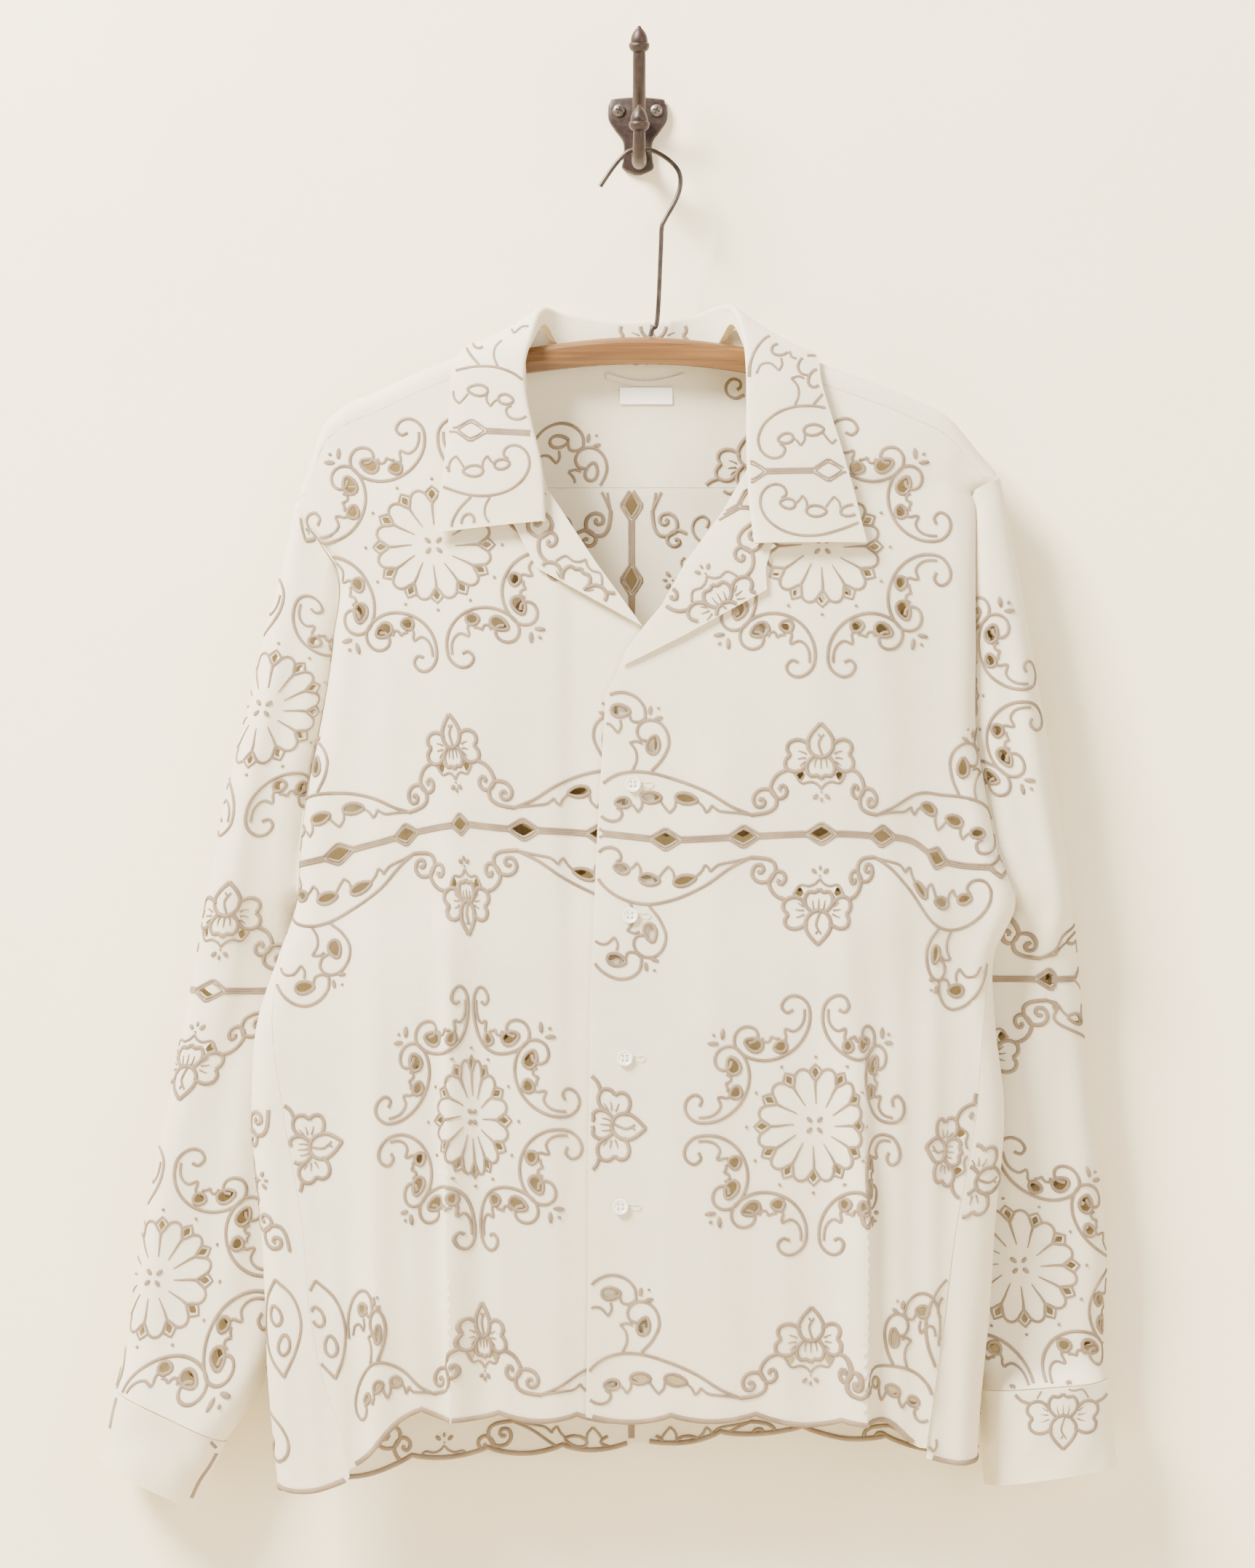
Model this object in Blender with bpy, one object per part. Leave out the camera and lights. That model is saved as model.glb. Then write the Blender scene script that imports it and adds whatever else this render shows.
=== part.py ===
# A long-sleeved camp-collar shirt in corded cutwork linen, on a wooden hanger that hangs from a
# cast iron coat hook. Metres, +Z up, the viewer looks along +Y. The origin is the centre of the
# back face of the wall plate, so the wall is the plane y = 0 and everything lies at y < 0.
# Left and right in names are the wearer's, so the right front is on the viewer's left.
#
# Each piece of cloth is cut flat as an outline with its cutwork holes in (across, height)
# coordinates, filled with triangles, laid on the shape that it hangs in, and given its wall.

import math

import bpy
import numpy as np
from mathutils import Vector
from mathutils.geometry import delaunay_2d_cdt

CLOTH = 0.0012              # wall of the cloth
SEAM = 0.0003               # gap between two pieces that are sewn or rest together
HANGER_Y = -0.030           # plane of the hanger
RIDGE_RADIUS = 0.0095       # cloth over the top edge of the hanger
DRAPE = 0.20                # height over which the body opens below the shoulder line
YOKE_DROP = 0.014           # front yoke seam below the shoulder line
YOKE_BACK_Z = -0.2345       # back yoke seam
ARMPIT_Z = -0.505
ARMHOLE_TOP_Z = {1: -0.2372, -1: -0.2480}
CAP_Z = -0.3300              # the armhole slants above this height
SEAM_STEP = 0.0250
SHOULDER_END = {1: 0.2240, -1: 0.2150}   # outer end of the front yoke seam

BAND_Z = -0.4597            # drawn-thread lozenge band round the body
HEM_BAND_Z = -0.8343        # the same band, where the hem cuts it off
ROSETTE_Z = (-0.2755, -0.6460)
LOZENGE_PITCH = 0.050
MIDDLE_X = -0.0042          # middle of the back, with its upright chain of lozenges
CHAIN_PITCH = 0.0490
CHAIN_TOP_Z = -0.2460
CHAIN_LOZENGES = 12
BACK_COLUMNS = (-0.1270, 0.1190)
BACK_COLUMN_REACH = 0.110   # cutwork further from a back column is left out
SLEEVE_SHIFT = {-1: -0.1038, 1: -0.0963}    # the body's pattern lies this much lower on the sleeves
LOZENGE_GAP = (0.0148, 0.0085)
FINE_GAP = 0.0084           # gaps shorter than this are left out where the pattern is seen less
SCALLOP_PITCH = 0.052
SCALLOP_DEPTH = 0.0035

BUTTON_RADIUS = 0.0051
BUTTON_THICK = 0.0020
BUTTON_HOLE = 0.0014
BUTTON_HOLE_PLACE = 0.00135   # across and up from the middle of the button
WIRE_RADIUS = 0.0015


class Table:
    """Rows with named columns. The first column rises, and the others are read between its rows
    on a smooth curve."""

    def __init__(self, columns, *rows):
        self.columns = columns.split()
        self.rows = np.array(sorted(rows))

    def at(self, column, where):
        xs = self.rows[:, 0]
        ys = self.rows[:, self.columns.index(column)]
        slope = np.gradient(ys, xs)
        where = np.clip(where, xs[0], xs[-1])
        i = np.clip(np.searchsorted(xs, where) - 1, 0, len(xs) - 2)
        span = xs[i + 1] - xs[i]
        t = (where - xs[i]) / span
        rise = ys[i + 1] - ys[i]
        a = slope[i] * span - rise
        b = -slope[i + 1] * span + rise
        return ys[i] + rise * t + t * (1 - t) * (a * (1 - t) + b * t)


# The shoulder line, along which the cloth lies over the hanger
RIDGE = Table(
    "x z",
    (-0.2228, -0.2468), (-0.2120, -0.2170), (-0.2073, -0.2012), (-0.1936, -0.1847),
    (-0.1697, -0.1734), (-0.1424, -0.1603), (-0.1222, -0.1523), (-0.0900, -0.1400),
    (-0.0600, -0.1310), (0.0, -0.1200), (0.0600, -0.1310), (0.0900, -0.1410),
    (0.1175, -0.1542), (0.1462, -0.1645), (0.1777, -0.1772), (0.2040, -0.1918),
    (0.2209, -0.2120), (0.2355, -0.2289),
)

# The body at each height: how far it reaches, the radius and depth of its sides, and how far
# the middle of its front and back stand out from them. wrap is how far the back comes round to
# the side seam on the front.
BODY = Table(
    "z left right radius side_y belly back left_wrap right_wrap",
    (-0.8950, 0.2310, 0.2180, 0.0140, -0.0520, 0.0050, 0.0270, 0.0564, 0.0440),
    (-0.8432, 0.2364, 0.2200, 0.0140, -0.0530, 0.0060, 0.0280, 0.0520, 0.0423),
    (-0.8075, 0.2392, 0.2230, 0.0140, -0.0540, 0.0070, 0.0290, 0.0440, 0.0400),
    (-0.7713, 0.2402, 0.2265, 0.0140, -0.0550, 0.0080, 0.0300, 0.0380, 0.0380),
    (-0.7172, 0.2430, 0.2300, 0.0140, -0.0550, 0.0090, 0.0300, 0.0360, 0.0343),
    (-0.6364, 0.2492, 0.2360, 0.0140, -0.0550, 0.0100, 0.0300, 0.0287, 0.0260),
    (-0.5809, 0.2452, 0.2302, 0.0140, -0.0540, 0.0110, 0.0290, 0.0180, 0.0160),
    (-0.5400, 0.2320, 0.2300, 0.0140, -0.0520, 0.0120, 0.0270, 0.0080, 0.0080),
    (-0.5050, 0.2201, 0.2440, 0.0140, -0.0490, 0.0120, 0.0240, 0.0000, 0.0000),
    (-0.4738, 0.2183, 0.2330, 0.0140, -0.0470, 0.0120, 0.0220, 0.0000, 0.0000),
    (-0.4338, 0.2136, 0.2250, 0.0140, -0.0460, 0.0120, 0.0210, 0.0000, 0.0000),
    (-0.4000, 0.2070, 0.2195, 0.0140, -0.0450, 0.0120, 0.0210, 0.0000, 0.0000),
    (-0.3374, 0.1972, 0.2190, 0.0130, -0.0440, 0.0110, 0.0200, 0.0000, 0.0000),
    (-0.2858, 0.1957, 0.2190, 0.0125, -0.0420, 0.0100, 0.0180, 0.0000, 0.0000),
    (-0.2472, 0.2228, 0.2188, 0.0115, -0.0400, 0.0100, 0.0170, 0.0000, 0.0000),
    (-0.2365, 0.2228, 0.2178, 0.0110, -0.0400, 0.0100, 0.0170, 0.0000, 0.0000),
    (-0.2289, 0.2228, 0.2355, 0.0110, -0.0400, 0.0100, 0.0170, 0.0000, 0.0000),
    (-0.1100, 0.2228, 0.2355, 0.0110, -0.0400, 0.0100, 0.0170, 0.0000, 0.0000),
)

# Folds: where each runs at its top and its foot, how far it stands out, how wide it is, and how
# far its crest leans over (negative to the viewer's left)
FRONT_FOLDS = (
    # x_top, z_top, x_foot, z_foot, depth, width, lean
    (-0.1240, -0.3600, -0.1170, -0.7400, 0.0090, 0.0110, -0.0045),
    (-0.1700, -0.5000, -0.1654, -0.8000, 0.0060, 0.0140, -0.0015),
    (-0.2000, -0.6300, -0.1900, -0.8600, 0.0050, 0.0100, 0.0015),
    (0.1430, -0.5400, 0.1415, -0.7400, 0.0080, 0.0100, 0.0045),
    (0.1290, -0.4000, 0.1354, -0.6200, 0.0040, 0.0140, 0.0010),
    (0.1913, -0.4100, 0.1880, -0.6400, 0.0045, 0.0110, 0.0010),
    (0.0560, -0.5600, 0.0600, -0.8300, 0.0030, 0.0240, 0.0),
    (-0.0700, -0.4200, -0.0640, -0.8300, 0.0030, 0.0220, 0.0),
)
BACK_FOLDS = (
    (-0.1250, -0.3000, -0.1300, -0.8000, 0.0050, 0.0200, 0.0),
    (-0.0400, -0.3600, -0.0350, -0.8200, 0.0050, 0.0220, 0.0),
    (0.0520, -0.3200, 0.0450, -0.8200, 0.0050, 0.0200, 0.0),
    (0.1300, -0.3400, 0.1350, -0.8000, 0.0050, 0.0200, 0.0),
)
# Creases where the ends of the hanger press the cloth out
CREASES = (
    # x, z_top, z_foot, depth, width
    (-0.1946, -0.1900, -0.3000, 0.0035, 0.0090),
    (0.2016, -0.1950, -0.3000, 0.0035, 0.0080),
)

# The sleeves, from shoulder to wrist: the outer and inner edge of the flat tube, the radius of
# its edges and the depth of its middle plane. x counts away from the middle of the shirt.
RIGHT_SLEEVE = Table(
    "w outer_x outer_z inner_x inner_z radius y",
    (-0.8229, 0.3404, -0.8229, 0.2687, -0.8569, 0.0230, -0.0288),
    (-0.8060, 0.3358, -0.8060, 0.2520, -0.8330, 0.0200, -0.0250),
    (-0.7426, 0.3271, -0.7426, 0.2260, -0.7460, 0.0165, -0.0200),
    (-0.6914, 0.3173, -0.6914, 0.2270, -0.6914, 0.0160, -0.0212),
    (-0.6265, 0.3050, -0.6265, 0.2300, -0.6265, 0.0155, -0.0208),
    (-0.5809, 0.2956, -0.5809, 0.2270, -0.5809, 0.0150, -0.0208),
    (-0.5508, 0.2895, -0.5508, 0.2200, -0.5508, 0.0150, -0.0215),
    (-0.5050, 0.2812, -0.5050, 0.2204, -0.5050, 0.0160, -0.0280),
    (-0.4724, 0.2750, -0.4724, 0.2186, -0.4724, 0.0160, -0.0310),
    (-0.4338, 0.2672, -0.4338, 0.2139, -0.4338, 0.0160, -0.0330),
    (-0.3821, 0.2543, -0.3821, 0.2040, -0.3850, 0.0155, -0.0335),
    (-0.3350, 0.2435, -0.3350, 0.1975, -0.3450, 0.0145, -0.0330),
    (-0.2950, 0.2330, -0.2950, 0.1962, -0.3150, 0.0130, -0.0325),
    (-0.2486, 0.2232, -0.2486, 0.1963, -0.2876, 0.0100, -0.0310),
)
LEFT_SLEEVE = Table(
    "w outer_x outer_z inner_x inner_z radius y",
    (-0.8166, 0.3046, -0.8166, 0.2232, -0.8226, 0.0235, -0.0290),
    (-0.8080, 0.3038, -0.8080, 0.2205, -0.8130, 0.0190, -0.0230),
    (-0.7891, 0.3036, -0.7891, 0.2130, -0.7920, 0.0170, -0.0205),
    (-0.7426, 0.3060, -0.7426, 0.2100, -0.7426, 0.0160, -0.0195),
    (-0.6904, 0.3027, -0.6904, 0.2100, -0.6904, 0.0160, -0.0212),
    (-0.6453, 0.2975, -0.6453, 0.2130, -0.6453, 0.0155, -0.0208),
    (-0.5805, 0.2900, -0.5805, 0.2130, -0.5805, 0.0150, -0.0208),
    (-0.5400, 0.2865, -0.5400, 0.2160, -0.5400, 0.0150, -0.0225),
    (-0.5050, 0.2822, -0.5050, 0.2440, -0.5050, 0.0150, -0.0300),
    (-0.4738, 0.2780, -0.4738, 0.2333, -0.4738, 0.0155, -0.0320),
    (-0.4178, 0.2693, -0.4178, 0.2222, -0.4178, 0.0155, -0.0330),
    (-0.3591, 0.2594, -0.3591, 0.2193, -0.3591, 0.0145, -0.0330),
    (-0.3008, 0.2491, -0.3008, 0.2193, -0.3008, 0.0125, -0.0325),
    (-0.2600, 0.2416, -0.2600, 0.2190, -0.2640, 0.0100, -0.0318),
    (-0.2292, 0.2358, -0.2292, 0.2181, -0.2368, 0.0075, -0.0310),
)
SLEEVE_FOLDS = (
    # from_middle, z_top, z_foot, depth, width
    (0.0120, -0.3000, -0.6500, 0.0030, 0.0090),
    (-0.0120, -0.5600, -0.8000, 0.0030, 0.0100),
)

# The cuffs: the outer and inner ends of the top and bottom rings
CUFFS = {
    "right_cuff": dict(
        side=-1, top=((0.3408, -0.8235), (0.2690, -0.8575)), foot=((0.3483, -0.8690), (0.2890, -0.9000)),
        radius=0.0235, y=-0.0290,
    ),
    "left_cuff": dict(
        side=1, top=((0.3050, -0.8172), (0.2228, -0.8232)), foot=((0.3116, -0.8720), (0.2266, -0.8850)),
        radius=0.0245, y=-0.0300,
    ),
}

# Hem line of each piece, before its scallops
FRONT_HEM = Table(
    "x z",
    (-0.2300, -0.8760), (-0.1850, -0.8670), (-0.1700, -0.8540), (-0.1560, -0.8370),
    (-0.1180, -0.8330), (-0.0600, -0.8340), (0.0, -0.8350), (0.0700, -0.8340),
    (0.1420, -0.8370), (0.1600, -0.8340), (0.1780, -0.8520), (0.2100, -0.8600),
)
BACK_HEM = Table(
    "x z",
    (-0.3200, -0.8700), (-0.2450, -0.8830), (-0.2000, -0.8810), (-0.1400, -0.8690),
    (-0.0600, -0.8650), (0.0300, -0.8580), (0.0900, -0.8520), (0.1500, -0.8550),
    (0.2300, -0.8620), (0.3000, -0.8600),
)

# Placket edge of the front that laps over, and the roll lines of the two lapels
PLACKET = Table(
    "z x",
    (-0.9000, -0.0336), (-0.8328, -0.0334), (-0.7826, -0.0324), (-0.6359, -0.0315),
    (-0.5541, -0.0301), (-0.5076, -0.0282), (-0.4615, -0.0263), (-0.4150, -0.0235),
    (-0.3704, -0.0207),
)
LEFT_ROLL = (
    (0.0735, -0.1500), (0.0722, -0.1900), (0.0714, -0.2237), (0.0541, -0.2538),
    (0.0301, -0.2867), (0.0150, -0.3140), (0.0033, -0.3281), (-0.0085, -0.3440),
    (-0.0130, -0.3560), (-0.0193, -0.3680),
)
RIGHT_ROLL = (
    (-0.0735, -0.1500), (-0.0705, -0.1850), (-0.0630, -0.2209), (-0.0583, -0.2388),
    (-0.0268, -0.2867), (0.0033, -0.3281), (0.0105, -0.3420),
)
UNDERLAP_X = 0.0090
# Neck edge of the yoke: across, height above the shoulder line, then down its sides on the cloth
NECK_ABOVE_RIDGE = ((0.0, 0.1580), (0.025, 0.1565), (0.044, 0.1500))
NECK_SIDE = ((0.0580, 0.0130), (0.0640, 0.0), (0.0700, -0.0110))
YOKE_ROWS = (-0.0149, -0.0100, -0.0050, 0.0, 0.0050, 0.0100, 0.0149, 0.0300, 0.0500, 0.0700, 0.0900)
LEFT_LAPEL = (
    (0.0827, -0.3041), (0.0301, -0.3332), (0.0010, -0.3478), (-0.0098, -0.3530),
)
RIGHT_LAPEL = ((-0.0020, -0.3250), (-0.0653, -0.2900))

BUTTONS = ((-0.0033, -0.4291), (-0.0052, -0.5132), (-0.0085, -0.6044), (-0.0113, -0.6994))

# The collar, from the middle of the back round to its front end: the neck seam, the roll and the
# outer edge. Where y is 0 it is read from the front that the collar lies on.
COLLAR = "neck_x neck_y neck_z roll_x roll_y roll_z edge_x edge_y edge_z"
LEFT_COLLAR = (
    (0.0040, -0.0212, -0.1573, 0.0040, -0.0180, -0.1262, 0.0040, -0.0080, -0.1780),
    (0.0270, -0.0213, -0.1545, 0.0301, -0.0182, -0.1250, 0.0330, -0.0080, -0.1770),
    (0.0500, -0.0225, -0.1440, 0.0490, -0.0198, -0.1180, 0.0740, -0.0090, -0.1680),
    (0.0610, -0.0300, -0.1290, 0.0610, -0.0310, -0.1185, 0.1040, -0.0155, -0.1530),
    (0.0690, -0.0420, -0.1440, 0.0680, -0.0450, -0.1380, 0.1160, -0.0330, -0.1485),
    (0.0745, 0.0, -0.1600, 0.0703, 0.0, -0.1590, 0.1185, 0.0, -0.1690),
    (0.0745, 0.0, -0.1905, 0.0705, 0.0, -0.1900, 0.1260, 0.0, -0.1950),
    (0.0745, 0.0, -0.2200, 0.0705, 0.0, -0.2209, 0.1321, 0.0, -0.2150),
    (0.0758, 0.0, -0.2460, 0.0719, 0.0, -0.2468, 0.1400, 0.0, -0.2440),
    (0.0790, 0.0, -0.2730, 0.0752, 0.0, -0.2745, 0.1471, 0.0, -0.2735),
)
RIGHT_COLLAR = (
    (-0.0190, -0.0213, -0.1550, -0.0170, -0.0182, -0.1262, -0.0200, -0.0080, -0.1770),
    (-0.0500, -0.0225, -0.1440, -0.0480, -0.0198, -0.1215, -0.0740, -0.0090, -0.1680),
    (-0.0610, -0.0300, -0.1290, -0.0620, -0.0310, -0.1195, -0.0980, -0.0140, -0.1455),
    (-0.0700, -0.0420, -0.1440, -0.0690, -0.0450, -0.1390, -0.1090, -0.0330, -0.1425),
    (-0.0770, 0.0, -0.1590, -0.0735, 0.0, -0.1579, -0.1198, 0.0, -0.1590),
    (-0.0760, 0.0, -0.1820, -0.0719, 0.0, -0.1819, -0.1215, 0.0, -0.1850),
    (-0.0680, 0.0, -0.2205, -0.0630, 0.0, -0.2209, -0.1250, 0.0, -0.2230),
    (-0.0655, 0.0, -0.2410, -0.0609, 0.0, -0.2400, -0.1285, 0.0, -0.2460),
    (-0.0640, 0.0, -0.2590, -0.0600, 0.0, -0.2600, -0.1311, 0.0, -0.2674),
)
COLLAR_LIFT = 0.0075        # collar leaf above the front, which leaves room for the lapel
STAND_LIFT = (0.0022, 0.0050)   # neck edge of the collar above the front, and over a lapel
LAPEL_TOP_Z = -0.2000

# The wire hook, from its free end over the coat hook and down into the wood
WIRE = (
    (-0.0247, -0.0392), (-0.0155, -0.0258), (-0.0068, -0.0167), (0.0005, -0.0152),
    (0.0089, -0.0155), (0.0193, -0.0212), (0.0263, -0.0289), (0.0277, -0.0376),
    (0.0249, -0.0475), (0.0177, -0.0606), (0.0155, -0.0663), (0.0149, -0.0808),
    (0.0127, -0.1253), (0.0095, -0.1320), (0.0080, -0.1370),
)
# The iron coat hook, seen from the side: y, z and radius along each prong
UPPER_PRONG = (
    (-0.0030, 0.0040, 0.0058), (-0.0120, 0.0085, 0.0050), (-0.0260, 0.0160, 0.0044),
    (-0.0380, 0.0270, 0.0042), (-0.0450, 0.0390, 0.0042), (-0.0475, 0.0500, 0.0040),
)
LOWER_PRONG = (
    (-0.0030, -0.0145, 0.0056), (-0.0140, -0.0205, 0.0049), (-0.0290, -0.0216, 0.0045),
    (-0.0400, -0.0170, 0.0042), (-0.0455, -0.0090, 0.0040), (-0.0465, -0.0010, 0.0038),
)
ACORN = (
    # height along the tip, radius
    (-0.0045, 0.0034), (-0.0030, 0.0058), (-0.0008, 0.0068), (0.0012, 0.0064),
    (0.0018, 0.0056), (0.0060, 0.0050), (0.0095, 0.0030), (0.0118, 0.0010),
)
PLATE_THICK = 0.0045
PLATE = Table(
    # half width of the plate at each height
    "z half",
    (-0.0272, 0.0020), (-0.0245, 0.0085), (-0.0180, 0.0098), (-0.0110, 0.0092),
    (-0.0050, 0.0100), (0.0020, 0.0150), (0.0085, 0.0190), (0.0150, 0.0196),
    (0.0205, 0.0178), (0.0232, 0.0130), (0.0238, 0.0060), (0.0240, 0.0020),
)
SCREWS = ((-0.0124, 0.0147), (0.0122, 0.0147))
SCREW_RADIUS = 0.0042


def clear_scene():
    for item in list(bpy.data.objects):
        bpy.data.objects.remove(item)


def material(name, colour, roughness, metallic=0.0):
    made = bpy.data.materials.new(name)
    made.use_nodes = True
    shader = made.node_tree.nodes["Principled BSDF"]
    shader.inputs["Base Color"].default_value = (*colour, 1.0)
    shader.inputs["Roughness"].default_value = roughness
    shader.inputs["Metallic"].default_value = metallic
    return made


def new_object(name, points, faces, finish, smooth=30.0):
    mesh = bpy.data.meshes.new(name)
    mesh.from_pydata([tuple(map(float, p)) for p in points], [], [tuple(map(int, f)) for f in faces])
    mesh.materials.append(finish)
    mesh.shade_smooth()
    mesh.set_sharp_from_angle(angle=math.radians(smooth))
    made = bpy.data.objects.new(name, mesh)
    bpy.context.scene.collection.objects.link(made)
    return made


# Shape of the hung cloth


def ease(t):
    t = np.clip(t, 0.0, 1.0)
    return t * t * (3.0 - 2.0 * t)


def fold_shape(x, z, folds):
    """How far the folds stand out, and how far their crests lean across."""
    out = np.zeros_like(x)
    lean = np.zeros_like(x)
    for x_top, z_top, x_foot, z_foot, depth, width, over in folds:
        down = (z_top - z) / (z_top - z_foot)
        across = (x - x_top - (x_foot - x_top) * np.clip(down, 0.0, 1.3)) / width
        steep = np.where(across * over > 0, 1.0 + 130.0 * abs(over), 1.0)
        crest = np.exp(-np.abs(across * steep) ** 1.7) * ease(down)
        out += depth * crest
        lean += over * crest ** 2
    return out, lean


def torso(across, z, side):
    """A point of the body. across is measured on the cloth from the middle; side is -1 on the
    front and 1 on the back, and past the side it comes round to the other one."""
    across = np.asarray(across, float)
    z = np.asarray(z, float) + 0.0 * across
    reach = np.where(across < 0, BODY.at("left", z), BODY.at("right", z))
    radius = BODY.at("radius", z)
    side_y = BODY.at("side_y", z)
    straight = reach - radius
    far = np.abs(across)
    turn = np.clip((far - straight) / radius, 0.0, math.pi)
    beyond = np.clip(far - straight - math.pi * radius, 0.0, None)
    x = np.sign(across) * (np.minimum(far, straight) + radius * np.sin(turn) - beyond)
    middle = ease((straight - far) / 0.10)
    on_front = side * np.cos(turn) < 0
    belly = np.where(side < 0, BODY.at("belly", z), BODY.at("back", z))
    folds, lean = fold_shape(x, z, FRONT_FOLDS)
    back_folds = fold_shape(x, z, BACK_FOLDS)[0]
    for crease_x, z_top, z_foot, depth, width in CREASES:
        rise = ease((z_top - z) / 0.03) * ease((z - z_foot) / (z_top - z_foot))
        folds = folds + depth * np.exp(-(((x - crease_x) / width) ** 2)) * rise
    out = radius * np.abs(np.cos(turn)) + belly * middle * (turn == 0)
    out = out + np.where(on_front, folds * np.abs(np.cos(turn)), -back_folds * (turn == 0))
    full_y = side_y + np.where(on_front, -1.0, 1.0) * out
    below = np.clip(RIDGE.at("z", x) - z, 0.0, None)
    over = RIDGE_RADIUS * np.sqrt(1.0 - (1.0 - np.clip(below / RIDGE_RADIUS, 0.0, 1.0)) ** 2)
    way = np.where(on_front, -1.0, 1.0)
    spread = 1.0 - (1.0 - np.clip(below / DRAPE, 0.0, 1.0)) ** 2.4
    start = way * over
    y = HANGER_Y + start + (full_y - HANGER_Y - way * RIDGE_RADIUS) * spread
    return np.stack([x + np.where(on_front, lean, 0.0), y, z], axis=-1)


def seam_across(z, sign, side):
    """Where the side seam or armhole lies across the front (side -1) or the back (1)."""
    name = "left" if sign < 0 else "right"
    radius = BODY.at("radius", z)
    quarter = BODY.at(name, z) - radius + radius * math.pi / 2
    return sign * (quarter + side * BODY.at(name + "_wrap", z) - SEAM / 2)


def drop_of(t):
    """Height below the shoulder line of a point t along the cloth from it."""
    quarter = RIDGE_RADIUS * math.pi / 2
    t = np.abs(t)
    over = RIDGE_RADIUS * (1.0 - np.cos(np.minimum(t, quarter) / RIDGE_RADIUS))
    return over + np.maximum(t - quarter, 0.0)


def along_of(drop):
    return drop - RIDGE_RADIUS + RIDGE_RADIUS * math.pi / 2


def front_surface(points):
    return torso(points[:, 0], points[:, 1], -1)


def under_front_surface(points):
    """The right front passes behind the left one where they lap."""
    placed = torso(points[:, 0], points[:, 1], -1)
    placed[:, 1] += 0.0026 * ease((points[:, 0] + 0.055) / 0.015)
    return placed


def back_surface(points):
    return torso(points[:, 0], points[:, 1], 1)


def yoke_surface(points):
    x, t = points[:, 0], points[:, 1]
    z = RIDGE.at("z", x) - drop_of(t)
    return np.where((t < 0)[:, None], torso(x, z, -1), torso(x, z, 1))


def sleeve_surface(table, sign, half):
    """A function that lays a sleeve half (-1 front, 1 back) from (across, w)."""

    def lay(points):
        across, w = points[:, 0], points[:, 1]
        ends = [table.at(name, w) for name in ("outer_x", "outer_z", "inner_x", "inner_z")]
        middle_x, middle_z = (ends[0] + ends[2]) / 2, (ends[1] + ends[3]) / 2
        half_x, half_z = (ends[0] - ends[2]) / 2, (ends[1] - ends[3]) / 2
        reach = np.hypot(half_x, half_z)
        radius = np.minimum(table.at("radius", w), reach)
        straight = reach - radius
        far = np.abs(across)
        turn = np.clip((far - straight) / radius, 0.0, math.pi / 2)
        part = np.sign(across) * (np.minimum(far, straight) + radius * np.sin(turn)) / reach
        folds = np.zeros_like(across)
        for place, z_top, z_foot, depth, width in SLEEVE_FOLDS:
            run = ease((z_top - w) / 0.08) * ease((w - z_foot) / 0.08)
            folds += depth * np.exp(-(((across - place) / width) ** 2)) * run
        y = table.at("y", w) + half * (radius + folds) * np.cos(turn)
        x = sign * (middle_x + half_x * part)
        z = middle_z + half_z * part
        placed = np.stack([x, y, z], axis=-1)
        # Above the armpit the inner edge is sewn to the armhole of the body
        edge_z = np.maximum(ends[3], ARMPIT_Z)
        armhole = torso(seam_across(edge_z, sign, half), edge_z, half)
        armhole[:, 0] += sign * (SEAM + CLOTH * 1.3)
        armhole[:, 2] -= CLOTH * 2.3 * ease((edge_z - CAP_Z) / 0.03)
        edge = np.stack([sign * ends[2], table.at("y", w), ends[3]], axis=-1)
        pull = np.exp(-np.clip(across + straight + radius * math.pi / 2, 0.0, None) / 0.010)
        pull *= ease((w - ARMPIT_Z + 0.01) / 0.02)
        return placed + (armhole - edge) * pull[:, None]

    return lay


def sleeve_reach(table, w):
    half_x = (table.at("outer_x", w) - table.at("inner_x", w)) / 2
    half_z = (table.at("outer_z", w) - table.at("inner_z", w)) / 2
    reach = np.hypot(half_x, half_z)
    radius = np.minimum(table.at("radius", w), reach)
    return reach - radius + radius * math.pi / 2 - SEAM / 2 - 0.0001


# Cutwork: each gap is a short polygon, drawn flat round one lotus column (across it, height), and
# then moved to where that cloth hangs

GAPS = (
    # gaps of one quarter of the rosette: across, height, length, width, angle, sides
    (0.0508, 0.0228, 0.0066, 0.0056, 100.0, 5),
    (0.0529, 0.0400, 0.0105, 0.0066, 66.0, 5),
)
BAND_GAPS = (
    # gaps of one side of the lotus above the band: the flower, the wave and its spray
    (0.0128, 0.0370, 0.0066, 0.0062, 55.0, 4),
    (0.0866, 0.0262, 0.0126, 0.0052, 12.0, 5),
    (0.1092, 0.0264, 0.0112, 0.0054, -4.0, 5),
    (0.1074, 0.0604, 0.0104, 0.0060, 105.0, 5),
    (0.1286, 0.0800, 0.0104, 0.0060, 175.0, 5),
)
SIDE_FLOWER = (0.1790, -0.6460)     # foot of the flower that points at the lower rosette
PETALS = 12
PETAL_GAP = ((0.0300, 0.0), (0.0338, 4.0), (0.0370, 0.0), (0.0338, -4.0))

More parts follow.
